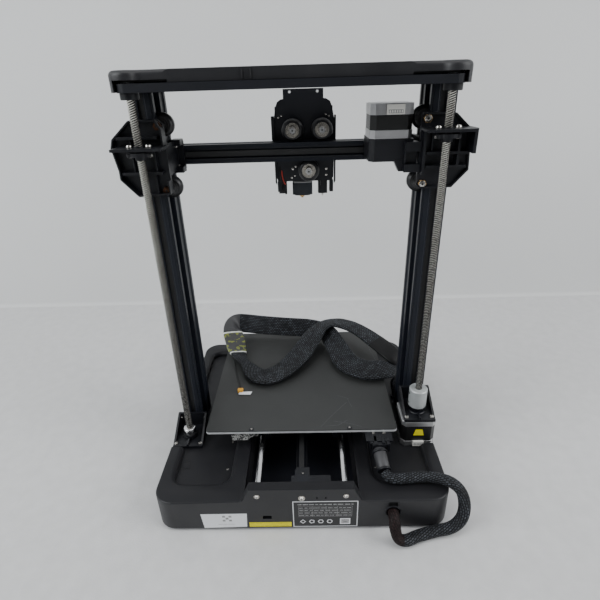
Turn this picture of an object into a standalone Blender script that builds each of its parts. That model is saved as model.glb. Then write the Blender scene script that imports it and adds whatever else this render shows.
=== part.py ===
"""Open-frame FDM printer: base, moving bed, two uprights, X gantry and print head.

Every size below is in millimetres, and the shape helpers turn them into metres.
+X is the side with the plain foot bracket, +Y is the rear of the printer and +Z is up.
The origin is at the middle of the footprint, on the surface that the feet stand on.
"""
import math

import bmesh
import bpy
from mathutils import Vector

MM = 0.001
GAP = 0.3                     # clearance between neighbouring pieces

# Base
BASE_X, BASE_Y = 166.35, 164.05
BASE_LOW, BASE_TOP = 4.3, 46.0
BASE_CORNER = 22.0
CHANNEL_X = 64.3              # inner face of each side cover
BASIN_FLOOR = 38.5
WALL = 2.5
FOOT_X, FOOT_Y, FOOT_R = 140.0, 135.0, 10.0
PANEL_Y = 152.8               # inner face of the front and rear panels
PANEL_TOP = 64.0
BASIN_X, BASIN_Y = (84.0, 150.0), (-137.0, 137.0)
POCKET_X, POCKET_Y = (125.3, 175.0), (-12.0, 80.0)    # flat that the upright and foot stand on
CABLE_HOLE, CABLE_HOLE_R = (-101.0, 28.3), 7.6        # X and Z of the hole in the rear wall

# Y axis and bed
ROD_X, ROD_Z, ROD_R = 48.6, 54.0, 4.0
BED_Y = -31.55                # bed centre at rest
BED_HALF = 117.5
CARRIAGE_Y = 27.95            # centre of the bearing housings at rest
Y_BELT_Z = 40.0
Y_MOTOR_Y, Y_IDLER_Y = -129.0, 140.5

# Frame
SCREW_X, SCREW_Y, SCREW_R = 146.8, 55.95, 4.0
UPRIGHT_TOP = 452.0
BEAM_LOW, BEAM_TOP = 452.3, 459.7
COVER_X, COVER_TOP = 161.5, 470.5
COVER_FRONT, COVER_REAR = -12.0, 66.5
COVER_INSIDE = 155.5          # inner face of the top cover's end walls
COVER_NOTCH = (108.0, 462.3)  # from here out to each end the cover's rear wall stops at this height
SYNC_R = 6.0
SYNC_LOW, SYNC_HIGH = 460.2, 466.6
MOTOR = 42.3                  # width of a motor's square body

# X gantry
RAIL_Y, RAIL_Z, RAIL_HALF = -20.55, 388.2, 10.0
RAIL_X = 168.0
BRACKET_Y = (34.5, 39.5)      # front and rear faces of the gantry brackets
Z_WHEEL_R, Z_WHEEL_Y = 11.5, 20.45
Z_WHEELS = ((131.0, 422.5), (131.0, 360.5), (162.6, 390.0))
WHEEL_WIDTH = 10.2
X_MOTOR = (-97.8, 14.45)
X_MOTOR_Z = (404.3, 436.4)
IDLER_X = 160.0
X_BELT_Z = (385.2, 391.2)

# Print head
HEAD_PLATE_Y = (-36.5, -33.5)
X_WHEEL_R = 12.0
X_WHEELS = ((1.2, 410.0), (-31.3, 410.0), (-16.0, 366.5))
NOZZLE = (-7.6, -59.55, 326.4)
PROBE = (-33.0, -58.0)
FAN = (-11.8, 402.0)

# Cords: radius, and the points that each route passes through
BED_CABLE_R = 5.3
BED_CABLE = (
    (-96.2, 132.2, 52.6), (-99.0, 137.2, 52.1), (-106.5, 140.2, 52.0), (-120.0, 139.8, 52.2),
    (-137.0, 138.6, 52.8), (-154.0, 141.5, 53.6), (-166.5, 147.0, 53.2), (-176.5, 153.0, 46.5),
    (-180.5, 159.5, 33.0), (-177.0, 166.0, 18.5), (-165.0, 170.5, 9.5), (-147.0, 172.5, 6.6),
    (-128.0, 177.5, 6.2), (-114.0, 183.0, 6.4), (-105.0, 183.5, 10.0), (-101.5, 180.0, 18.5),
    (-101.0, 174.0, 25.6), (-101.0, 168.0, 28.2), (-101.0, 162.6, 28.3),
)
HARNESS_R = 4.0
HARNESS = (
    (-140.0, -22.0, 42.6), (-140.0, -23.0, 56.0), (-139.0, -25.0, 70.0), (-134.0, -27.0, 80.0),
    (-122.0, -27.0, 83.5), (-100.0, -25.0, 83.5), (-84.0, -30.0, 84.0), (-70.0, -41.0, 85.0),
    (-62.0, -56.0, 86.5), (-58.0, -70.0, 88.0), (-50.6, -95.0, 90.0), (-42.0, -118.0, 91.5),
    (-28.0, -129.0, 92.0), (-8.0, -136.0, 92.0), (24.0, -140.5, 92.5), (65.0, -146.0, 93.5),
    (92.0, -149.0, 95.5), (107.0, -147.5, 97.5), (113.5, -138.0, 98.0), (112.5, -123.0, 95.0),
    (104.7, -98.0, 90.0), (98.9, -78.0, 85.5), (90.6, -62.6, 81.5), (79.7, -47.7, 80.0),
    (70.0, -32.0, 79.8), (58.0, -21.5, 79.8), (43.0, -20.8, 80.0), (21.3, -38.6, 82.0),
    (1.0, -67.0, 87.0), (-15.4, -97.6, 94.0), (-28.3, -117.6, 101.0), (-44.0, -126.8, 105.0),
    (-63.4, -123.4, 106.5), (-86.8, -108.2, 105.0), (-110.6, -81.6, 100.0), (-130.0, -54.8, 95.0),
    (-139.7, -43.8, 88.0), (-143.5, -45.0, 77.0), (-144.5, -48.5, 66.0), (-144.5, -50.0, 58.0),
    (-144.5, -50.0, 51.7),
)
TAG_LEAD_R = 0.8
TAG_LEAD = (
    (103.4, -66.0, 77.0), (100.5, -52.0, 76.5), (95.5, -34.0, 76.3), (89.5, -14.0, 76.3),
    (86.0, -3.0, 76.4), (84.0, 4.4, 76.6),
)

PALETTE = {                   # colour, roughness, metallic
    "black_plastic": ((0.018, 0.018, 0.02), 0.45, 0.0),
    "matte_plastic": ((0.012, 0.012, 0.013), 0.6, 0.0),
    "anodised": ((0.015, 0.016, 0.02), 0.35, 0.6),
    "painted_steel": ((0.03, 0.03, 0.032), 0.5, 0.4),
    "aluminium": ((0.62, 0.62, 0.62), 0.35, 1.0),
    "steel": ((0.55, 0.53, 0.5), 0.3, 1.0),
    "chrome": ((0.75, 0.75, 0.76), 0.12, 1.0),
    "brass": ((0.72, 0.5, 0.2), 0.3, 1.0),
    "motor": ((0.05, 0.05, 0.05), 0.4, 0.6),
    "sheet": ((0.05, 0.052, 0.054), 0.7, 0.1),
    "rubber": ((0.015, 0.015, 0.015), 0.8, 0.0),
    "wheel": ((0.02, 0.02, 0.022), 0.4, 0.0),
    "foam": ((0.12, 0.12, 0.12), 0.95, 0.0),
    "braid": ((0.02, 0.02, 0.025), 0.6, 0.0),
    "circuit": ((0.02, 0.12, 0.05), 0.5, 0.0),
    "silicone": ((0.03, 0.035, 0.045), 0.65, 0.0),
    "connector": ((0.8, 0.45, 0.05), 0.45, 0.0),
}


# ---- Shape helpers -------------------------------------------------------------------------

def place(axis, a, b, along):
    """A point from its two coordinates across an axis and one along it."""
    if axis == "x":
        return (along, a, b)
    if axis == "y":
        return (a, along, b)
    return (a, b, along)


def to_object(bm):
    """Turn millimetre geometry into an object in metres with its faces pointing out."""
    bmesh.ops.recalc_face_normals(bm, faces=bm.faces)
    bmesh.ops.scale(bm, vec=(MM, MM, MM), verts=bm.verts)
    mesh = bpy.data.meshes.new("shape")
    bm.to_mesh(mesh)
    bm.free()
    obj = bpy.data.objects.new("shape", mesh)
    bpy.context.collection.objects.link(obj)
    return obj


def prism(outline, axis, low, high):
    """An outline, given across an axis, drawn out along that axis."""
    bm = bmesh.new()
    first = [bm.verts.new(place(axis, a, b, low)) for a, b in outline]
    last = [bm.verts.new(place(axis, a, b, high)) for a, b in outline]
    bm.faces.new(first)
    bm.faces.new(last)
    for i in range(len(first)):
        j = (i + 1) % len(first)
        bm.faces.new((first[i], first[j], last[j], last[i]))
    return to_object(bm)


def box(x, y, z):
    """A block between two limits on each axis."""
    return prism(((x[0], y[0]), (x[1], y[0]), (x[1], y[1]), (x[0], y[1])), "z", z[0], z[1])


def arc(centre, radius, start, end, steps):
    """Points on an arc, angles in degrees, both ends included."""
    points = []
    for i in range(steps + 1):
        angle = math.radians(start + (end - start) * i / steps)
        points.append((centre[0] + radius * math.cos(angle), centre[1] + radius * math.sin(angle)))
    return points


def circle(centre, radius, sides):
    return arc(centre, radius, 0, 360, sides)[:-1]


def rounded(x, y, radius, steps=4, corners=(1, 1, 1, 1)):
    """A rectangle with round corners, anticlockwise from the low corner."""
    ends = ((x[1], y[0], -90), (x[1], y[1], 0), (x[0], y[1], 90), (x[0], y[0], 180))
    points = []
    for (cx, cy, start), on in zip(ends, (corners[1], corners[2], corners[3], corners[0])):
        if on:
            centre = (cx - math.copysign(radius, cx - sum(x) / 2),
                      cy - math.copysign(radius, cy - sum(y) / 2))
            points += arc(centre, radius, start, start + 90, steps)
        else:
            points.append((cx, cy))
    return points


def cylinder(axis, centre, radius, low, high, sides=24):
    return prism(circle(centre, radius, sides), axis, low, high)


def turned(axis, centre, profile, sides=24):
    """A ring turned about an axis from a closed profile of (radius, distance along)."""
    bm = bmesh.new()
    rings = []
    for radius, along in profile:
        rings.append([bm.verts.new(place(axis, a, b, along))
                      for a, b in circle(centre, radius, sides)])
    for i in range(len(rings)):
        j = (i + 1) % len(rings)
        for k in range(sides):
            m = (k + 1) % sides
            bm.faces.new((rings[i][k], rings[i][m], rings[j][m], rings[j][k]))
    return to_object(bm)


def frustum(start, end, start_r, end_r, sides=16):
    """A straight taper between two points."""
    start, end = Vector(start), Vector(end)
    along = (end - start).normalized()
    across = along.orthogonal().normalized()
    other = along.cross(across)
    bm = bmesh.new()
    rings = []
    for point, radius in ((start, start_r), (end, end_r)):
        rings.append([bm.verts.new(point + radius * (a * across + b * other))
                      for a, b in circle((0, 0), 1.0, sides)])
    bm.faces.new(rings[0])
    bm.faces.new(rings[1])
    for k in range(sides):
        m = (k + 1) % sides
        bm.faces.new((rings[0][k], rings[0][m], rings[1][m], rings[1][k]))
    return to_object(bm)


def band(axis, path, thickness, low, high):
    """A closed belt of even thickness that follows a path."""
    bm = bmesh.new()
    count = len(path)
    rings = []
    for i, (a, b) in enumerate(path):
        before, after = path[i - 1], path[(i + 1) % count]
        along = Vector((after[0] - before[0], after[1] - before[1])).normalized()
        side = Vector((along.y, -along.x)) * thickness / 2
        rings.append([bm.verts.new(place(axis, a + k * side.x, b + k * side.y, h))
                      for k, h in ((1, low), (1, high), (-1, high), (-1, low))])
    for i in range(count):
        j = (i + 1) % count
        for k in range(4):
            m = (k + 1) % 4
            bm.faces.new((rings[i][k], rings[i][m], rings[j][m], rings[j][k]))
    return to_object(bm)


def mirrored(side, points):
    """Points on the +X side, or the same points on the -X side."""
    return [(side * a, b) for a, b in points]


def span(side, low, high):
    """Limits on the +X side, or the same limits on the -X side."""
    return (low, high) if side > 0 else (-high, -low)


def combine(shape, tool, operation):
    """Join a tool to a shape, or cut it from it, and throw the tool away."""
    modifier = shape.modifiers.new("combine", "BOOLEAN")
    modifier.operation = operation
    modifier.solver = "EXACT"
    modifier.object = tool
    graph = bpy.context.evaluated_depsgraph_get()
    mesh = bpy.data.meshes.new_from_object(shape.evaluated_get(graph))
    shape.modifiers.clear()
    shape.data = mesh
    bpy.data.objects.remove(tool)


def finish_for(slot):
    """The material of a slot, made the first time that it is asked for."""
    if slot in bpy.data.materials:
        return bpy.data.materials[slot]
    colour, roughness, metallic = PALETTE[slot]
    material = bpy.data.materials.new(slot)
    material.use_nodes = True
    shader = material.node_tree.nodes["Principled BSDF"]
    shader.inputs["Base Color"].default_value = (*colour, 1.0)
    shader.inputs["Roughness"].default_value = roughness
    shader.inputs["Metallic"].default_value = metallic
    return material


def part(name, slot, shape, add=(), cut=(), pivot=(0, 0, 0)):
    """Finish a sub-part: join and cut its shapes, name it and put its origin on its pivot."""
    for tool in add:
        combine(shape, tool, "UNION")
    for tool in cut:
        combine(shape, tool, "DIFFERENCE")
    shape.name = name
    shape.data.name = name
    shape.data.materials.clear()
    shape.data.materials.append(finish_for(slot))
    origin = Vector(pivot) * MM
    for vertex in shape.data.vertices:
        vertex.co -= origin
    shape.location = origin
    shape.data.shade_smooth()
    shape.data.set_sharp_from_angle(angle=math.radians(35))
    return shape


def smooth_route(points, spacing):
    """Points at an even spacing along a smooth curve through a cord's own points."""
    points = [Vector(p) for p in points]
    ends = [2 * points[0] - points[1], *points, 2 * points[-1] - points[-2]]
    dense = []
    for i in range(1, len(ends) - 2):
        p0, p1, p2, p3 = ends[i - 1:i + 3]
        for step in range(12):
            t = step / 12
            dense.append(0.5 * (2 * p1 + (p2 - p0) * t + (2 * p0 - 5 * p1 + 4 * p2 - p3) * t * t
                                + (3 * p1 - p0 - 3 * p2 + p3) * t ** 3))
    dense.append(points[-1])
    length = sum((b - a).length for a, b in zip(dense, dense[1:]))
    count = max(4, round(length / spacing))
    route, travelled, target = [dense[0]], 0.0, length / count
    for a, b in zip(dense, dense[1:]):
        step = (b - a).length
        while len(route) < count and travelled + step >= target:
            route.append(a.lerp(b, (target - travelled) / step))
            target += length / count
        travelled += step
    route.append(dense[-1])
    return route


def cord(name, slot, points, radius):
    """A round cord along its route, with closed ends."""
    route = smooth_route(points, 4 * radius)
    curve = bpy.data.curves.new(name, "CURVE")
    curve.dimensions = "3D"
    curve.bevel_depth = radius * MM
    curve.bevel_resolution = 2
    curve.use_fill_caps = True
    spline = curve.splines.new("POLY")
    spline.points.add(len(route) - 1)
    for target, point in zip(spline.points, route):
        target.co = (*(point * MM), 1.0)
    obj = bpy.data.objects.new(name, curve)
    bpy.context.collection.objects.link(obj)
    curve.materials.append(finish_for(slot))
    return obj


# ---- Base ----------------------------------------------------------------------------------

def side_cover(name, side):
    """A moulded cover over one side of the base, open below, with a basin in its top."""
    outer = rounded((CHANNEL_X, BASE_X), (-BASE_Y, BASE_Y), BASE_CORNER, 6, (0, 1, 1, 0))
    inner = rounded((CHANNEL_X + WALL, BASE_X - WALL), (-BASE_Y + WALL, BASE_Y - WALL),
                    BASE_CORNER - WALL, 4, (0, 1, 1, 0))
    basin = rounded(BASIN_X, BASIN_Y, 14.0)
    shape = prism(mirrored(side, outer), "z", BASE_LOW, BASE_TOP)
    combine(shape, prism(mirrored(side, inner), "z", 0.0, BASIN_FLOOR - WALL), "DIFFERENCE")
    combine(shape, prism(mirrored(side, basin), "z", BASIN_FLOOR, BASE_TOP + 5.0), "DIFFERENCE")
    cuts = [box(span(side, *POCKET_X), POCKET_Y, (BASIN_FLOOR, BASE_TOP + 5.0))]
    if side > 0:
        cuts.append(box((160.0, 170.0), (-100.3, -79.7), (15.3, 28.3)))
    else:
        hole_x, hole_z = CABLE_HOLE
        start_x, start_y, start_z = HARNESS[0]
        collar = ((4.6, BASIN_FLOOR - 0.5), (8.0, BASIN_FLOOR - 0.5), (7.0, 42.0), (4.6, 42.0))
        combine(shape, turned("z", (start_x, start_y), collar, 16), "UNION")
        cuts.append(cylinder("y", CABLE_HOLE, CABLE_HOLE_R, 155.0, 170.0, 16))
        cuts.append(box((hole_x - 5.0, hole_x + 5.0), (161.0, 170.0), (hole_z, 43.0)))
    return part(name, "black_plastic", shape, cut=cuts)


def end_panel(name, side, top):
    """The raised panel between the side covers, at the rear or the front."""
    half, shoulder = CHANNEL_X - GAP, 48.0
    outline = ((-half, BASE_LOW), (half, BASE_LOW), (half, shoulder), (57.0, top), (-57.0, top),
               (-half, shoulder))
    y = span(side, PANEL_Y, BASE_Y)
    inside = span(side, PANEL_Y + WALL, BASE_Y - WALL)
    return part(name, "black_plastic", prism(outline, "y", *y),
                cut=[box((-54.0, 54.0), inside, (0.0, top - WALL))])


def build_base():
    side_cover("side_cover_left", 1)
    side_cover("side_cover_right", -1)
    end_panel("rear_panel", 1, PANEL_TOP)
    end_panel("front_panel", -1, 60.0)
    feet = [cylinder("z", (x, y), FOOT_R, 0.0, 2.4, 20)
            for x in (-FOOT_X, FOOT_X) for y in (-FOOT_Y, FOOT_Y)]
    part("bottom_plate", "painted_steel",
         prism(rounded((-163.0, 163.0), (-161.0, 161.0), 19.0), "z", 2.0, BASE_LOW - GAP), add=feet)
    part("mainboard", "circuit", box((-150.0, -75.0), (-125.0, -25.0), (9.0, 11.0)),
         add=[box((-140.0, -128.0), (-110.0, -50.0), (10.5, 22.0)),
              box((-115.0, -95.0), (-100.0, -80.0), (10.5, 19.0))])
    part("power_supply", "aluminium", box((72.0, 150.0), (-100.0, 60.0), (6.0, 34.0)))
    build_power_switch()


def build_power_switch():
    """A rocker in the side wall, tilted to its off position."""
    pivot = (163.0, -90.0, 21.8)
    rocker = part("power_switch", "matte_plastic", box((160.0, 166.9), (-99.3, -80.7), (15.6, 28.0)),
                  pivot=pivot)
    rocker.rotation_euler = (0, 0, math.radians(-8))


# ---- Y axis and bed ------------------------------------------------------------------------

def build_y_axis():
    for name, side in (("y_rod_left", 1), ("y_rod_right", -1)):
        part(name, "chrome", cylinder("y", (side * ROD_X, ROD_Z), ROD_R, GAP - PANEL_Y, PANEL_Y - GAP))
    path = (arc((Y_IDLER_Y, Y_BELT_Z), 7.0, -90, 90, 8) + arc((Y_MOTOR_Y, Y_BELT_Z), 7.0, 90, 270, 8))
    part("y_belt", "rubber", band("x", path, 1.2, -3.0, 3.0))
    half = MOTOR / 2
    part("y_motor", "motor",
         prism(rounded((Y_MOTOR_Y - half, Y_MOTOR_Y + half), (Y_BELT_Z - half, Y_BELT_Z + half), 4.0, 1),
               "x", 4.5, 38.5),
         add=[cylinder("x", (Y_MOTOR_Y, Y_BELT_Z), 6.0, -4.0, 5.0, 20)])
    part("y_idler_block", "painted_steel", box((-7.0, 7.0), (134.0, PANEL_Y - GAP), (30.0, 61.7)),
         cut=[box((-3.6, 3.6), (130.0, 149.2), (29.0, 58.0))])
    idler = cylinder("x", (Y_IDLER_Y, Y_BELT_Z), 5.9, -4.5, 4.5, 20)
    combine(bpy.data.objects["y_idler_block"], idler, "UNION")


def build_bed():
    low, high = BED_Y - BED_HALF, BED_Y + BED_HALF
    square = rounded((-BED_HALF, BED_HALF), (low, high), 4.0)
    part("bed_plate", "aluminium", prism(square, "z", 71.3, 73.9))
    part("build_sheet", "sheet", prism(square, "z", 74.2, 75.1))
    bar_y = (BED_Y - 100.0, BED_Y + 100.0)
    posts = [(x, y) for x in (-97.0, 97.0) for y in bar_y]
    part("bed_foam", "foam", box((-112.0, 112.0), (low + 6.0, high - 4.0), (68.6, 71.0)),
         cut=[cylinder("z", post, 5.5, 67.0, 73.0, 12) for post in posts]
         + [box((-115.0, -70.0), (76.0, 90.0), (67.0, 73.0))])
    housings = [box(span(side, 40.0, 57.2), (CARRIAGE_Y - 40.0, CARRIAGE_Y + 40.0), (46.0, 62.6))
                for side in (-1, 1)]
    bars = [box((-105.0, 105.0), (y - 8.0, y + 8.0), (65.3, 68.3)) for y in bar_y]
    part("y_carriage", "painted_steel",
         box((-60.0, 60.0), (CARRIAGE_Y - 40.0, CARRIAGE_Y + 40.0), (62.2, 65.6)),
         add=[*housings, box((-25.0, 25.0), (BED_Y - 105.0, BED_Y + 105.0), (65.3, 68.3)), *bars,
              *[cylinder("z", post, 5.0, 67.0, 71.0, 12) for post in posts],
              box((-4.0, 4.0), (CARRIAGE_Y - 8.0, CARRIAGE_Y + 8.0), (47.9, 63.0))],
         cut=[cylinder("y", (side * ROD_X, ROD_Z), ROD_R + 0.4, -60.0, 100.0) for side in (-1, 1)])
    part("cable_clamp", "matte_plastic", box((-110.0, -78.0), (78.0, 101.0), (69.0, 71.0)),
         add=[box((-101.0, -85.0), (95.0, 107.0), (56.0, 70.0)),
              frustum((-92.6, 103.0, 61.5), (-95.4, 127.0, 54.3), 7.4, 6.4)])
    cord("tag_lead", "rubber", TAG_LEAD, TAG_LEAD_R)
    part("tag_connector", "connector", box((80.5, 88.0), (5.0, 11.0), (75.4, 79.2)),
         add=[box((68.0, 86.0), (9.5, 16.0), (75.5, 76.3))])


# ---- Frame and Z axis ----------------------------------------------------------------------

def upright(name, side):
    """An extruded upright with a wheel channel down each side and a hollow front box."""
    half = ((14.2, -7.55), (14.2, 14.25), (4.0, 14.25), (4.0, 26.65), (12.6, 26.65), (12.6, 32.45))
    outline = [(side * SCREW_X + x, y) for x, y in half]
    outline += [(side * SCREW_X - x, y) for x, y in reversed(half)]
    hollow = box((side * SCREW_X - 11.0, side * SCREW_X + 11.0), (-4.8, 11.0), (30.0, 460.0))
    return part(name, "anodised", prism(outline, "z", BASIN_FLOOR + GAP, UPRIGHT_TOP), cut=[hollow])


def foot(name, side, low, high, rear, slot):
    """A plate on the upright's rear face with two sloping gussets and a centre rib."""
    x = span(side, 127.8, 165.8)
    gusset = ((32.75, low), (rear - 3.0, low), (rear - 3.0, low + 3.7), (35.5, high), (32.75, high))
    centre = side * SCREW_X
    hole = cylinder("z", (centre, SCREW_Y), 11.4 if side < 0 else 4.4, low - 5.0, low + 20.0)
    boss = [] if side < 0 else [cylinder("z", (centre, SCREW_Y), 9.0, low + 3.0, low + 7.0)]
    return part(name, slot, box(x, (32.75, rear), (low, low + 3.7)),
                add=[box(x, (32.75, 35.5), (low, high)),
                     prism(gusset, "x", x[0], x[0] + 2.5),
                     prism(gusset, "x", x[1] - 2.5, x[1]),
                     box((centre - 1.0, centre + 1.0), (rear - 11.0, rear), (low + 3.0, low + 6.5)),
                     *boss],
                cut=[hole])


def build_frame():
    upright("upright_left", 1)
    upright("upright_right", -1)
    screws = [(side * SCREW_X, SCREW_Y) for side in (-1, 1)]
    part("top_beam", "painted_steel",
         prism(rounded((-155.0, 155.0), (-7.55, 69.5), 8.0), "z", BEAM_LOW, BEAM_TOP),
         add=[cylinder("z", screw, 8.0, 446.5, 453.0) for screw in screws],
         cut=[cylinder("z", screw, 4.4, 440.0, 465.0) for screw in screws])
    lobe_r, lobe = 15.5, (146.0, 57.0)
    notch_x, notch_top = COVER_NOTCH
    meet = 180.0 - math.degrees(math.asin((COVER_REAR - lobe[1]) / lobe_r))
    right_half = [(COVER_X, COVER_FRONT), *arc(lobe, lobe_r, 0, meet, 9)]
    outline = right_half + [(-x, y) for x, y in reversed(right_half)]
    part("top_cover", "black_plastic", prism(outline, "z", 452.7, COVER_TOP),
         cut=[box((-COVER_INSIDE, COVER_INSIDE), (COVER_FRONT + 3.0, COVER_REAR - WALL),
                  (450.0, COVER_TOP - WALL)),
              box((-COVER_INSIDE, COVER_INSIDE), (60.0, 80.0), (450.0, BEAM_TOP + GAP)),
              *[box(span(side, notch_x, COVER_INSIDE), (60.0, 80.0), (450.0, notch_top))
                for side in (-1, 1)]])
    path = (arc((SCREW_X, SCREW_Y), SYNC_R + 0.9, -90, 90, 8)
            + arc((-SCREW_X, SCREW_Y), SYNC_R + 0.9, 90, 270, 8))
    part("sync_belt", "rubber", band("z", path, 1.1, 461.0, 466.2))


def build_z_axis():
    half = MOTOR / 2
    part("z_motor", "motor",
         prism(rounded((-SCREW_X - half, -SCREW_X + half), (SCREW_Y - half, SCREW_Y + half), 4.0, 1),
               "z", BASIN_FLOOR + GAP, 77.0))
    foot("z_motor_bracket", -1, 77.3, 100.0, 77.0, "painted_steel")
    foot("left_foot_bracket", 1, 38.9, 62.0, 76.0, "matte_plastic")
    left, right = (SCREW_X, SCREW_Y), (-SCREW_X, SCREW_Y)
    part("leadscrew_left", "steel", cylinder("z", left, SCREW_R, 41.0, SYNC_HIGH, 16),
         add=[cylinder("z", left, 7.5, 46.3, 57.0, 20),
              cylinder("z", left, SYNC_R, SYNC_LOW, SYNC_HIGH, 20)],
         pivot=(*left, 0.0))
    part("leadscrew_right", "steel", cylinder("z", right, SCREW_R, 100.3, SYNC_HIGH, 16),
         add=[cylinder("z", right, SYNC_R, SYNC_LOW, SYNC_HIGH, 20)], pivot=(*right, 0.0))
    part("coupler", "aluminium", cylinder("z", right, 11.0, 88.0, 113.5),
         add=[cylinder("z", right, 2.5, 77.5, 90.0, 12)],
         cut=[cylinder("z", right, 4.4, 100.0, 120.0, 16)], pivot=(*right, 0.0))


# ---- X gantry ------------------------------------------------------------------------------

def bracket(name, side, outline, shelf_z, shelf_x, ribs, extra):
    """A moulded gantry plate with wheel axles, ribs, a nut shelf and an arm to the beam."""
    axles = [cylinder("y", (side * x, z), 2.45, 15.8, 35.0, 12) for x, z in Z_WHEELS]
    rib_x = span(side, 131.0, 171.0)
    shapes = [box(rib_x, (39.0, 48.0), (z - 1.4, z + 1.4)) for z in ribs]
    shapes.append(box(shelf_x, (39.0, 68.5), shelf_z))
    shapes.append(box(span(side, 127.5, 131.3), (GAP + RAIL_Y + RAIL_HALF, 35.0), (374.5, 404.0)))
    shapes.append(box(span(side, 120.8, 131.3), (GAP + RAIL_Y + RAIL_HALF, -6.5), (374.5, 404.0)))
    low, top = shelf_z
    for dx in (-9.2, 9.2):
        screw = (side * SCREW_X + dx, SCREW_Y)
        shapes.append(cylinder("z", screw, 2.8, top - 1.0, top + 2.3, 12))
    bore = cylinder("z", (side * SCREW_X, SCREW_Y), 5.6, low - 20.0, top + 5.0)
    return part(name, "matte_plastic", prism(outline, "y", *BRACKET_Y),
                add=[*axles, *shapes, *extra], cut=[bore])


def lead_nut(name, side, flange_top):
    """A flanged nut with its flange under the bracket's shelf."""
    centre = (side * SCREW_X, SCREW_Y)
    bore, barrel, flange = 4.35, 5.2, 11.0
    profile = ((bore, flange_top - 7.5), (barrel, flange_top - 7.5), (barrel, flange_top - 3.7),
               (flange, flange_top - 3.7), (flange, flange_top), (barrel, flange_top),
               (barrel, flange_top + 5.5), (bore, flange_top + 5.5))
    return part(name, "matte_plastic", turned("z", centre, profile))


def v_wheel(name, x, y, z, radius):
    """A wheel with a V rim on a plain bore, turning about Y."""
    half, rim = WHEEL_WIDTH / 2, 2.5
    profile = ((2.8, y - half), (radius - 2.5, y - half), (radius, y - rim), (radius, y + rim),
               (radius - 2.5, y + half), (2.8, y + half))
    return part(name, "wheel", turned("y", (x, z), profile), pivot=(x, y, z))


def rail_outline():
    """A square beam with a wide groove front and rear and a wheel groove above and below."""
    wide, deep, narrow, shallow = 4.5, 5.5, 3.1, 4.0
    quarter = ((RAIL_HALF, wide), (RAIL_HALF, RAIL_HALF), (narrow, RAIL_HALF),
               (narrow, RAIL_HALF - shallow))
    inner = (RAIL_HALF - deep, wide)
    points = [inner, *quarter]
    points += [(-y, z) for y, z in reversed(points)]
    points += [(y, -z) for y, z in reversed(points)]
    return [(RAIL_Y + y, RAIL_Z + z) for y, z in points]


def build_rail():
    slot_z = (RAIL_Z - 4.5, RAIL_Z + 4.5)
    ends = [box(span(side, 149.0, 172.0), (-35.0, -5.0), slot_z) for side in (-1, 1)]
    rail = part("x_beam", "anodised", prism(rail_outline(), "x", -RAIL_X, RAIL_X), cut=ends)
    for side in (-1, 1):
        idler = cylinder("z", (side * IDLER_X, RAIL_Y), 6.1, slot_z[0] - 0.8, slot_z[1] + 0.8, 20)
        combine(rail, idler, "UNION")
    turn = 7.35
    rear = RAIL_Y + turn
    motor_x, motor_y = X_MOTOR
    path = (arc((IDLER_X, RAIL_Y), turn, -90, 90, 8)
            + arc((motor_x + 13.0, rear + 6.0), 6.0, 270, 180, 4)
            + arc((motor_x, motor_y), 7.0, 0, 180, 8)
            + arc((motor_x - 13.0, rear + 6.0), 6.0, 0, -90, 4)
            + arc((-IDLER_X, RAIL_Y), turn, 90, 270, 8))
    part("x_belt", "rubber", band("z", path, 1.2, *X_BELT_Z))
    part("tension_knob", "matte_plastic",
         cylinder("x", (RAIL_Y, RAIL_Z), 9.0, RAIL_X + 4.0, 180.5, 18),
         add=[cylinder("x", (RAIL_Y, RAIL_Z), 5.0, RAIL_X + GAP, RAIL_X + 6.0, 18)],
         pivot=(RAIL_X, RAIL_Y, RAIL_Z))


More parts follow.
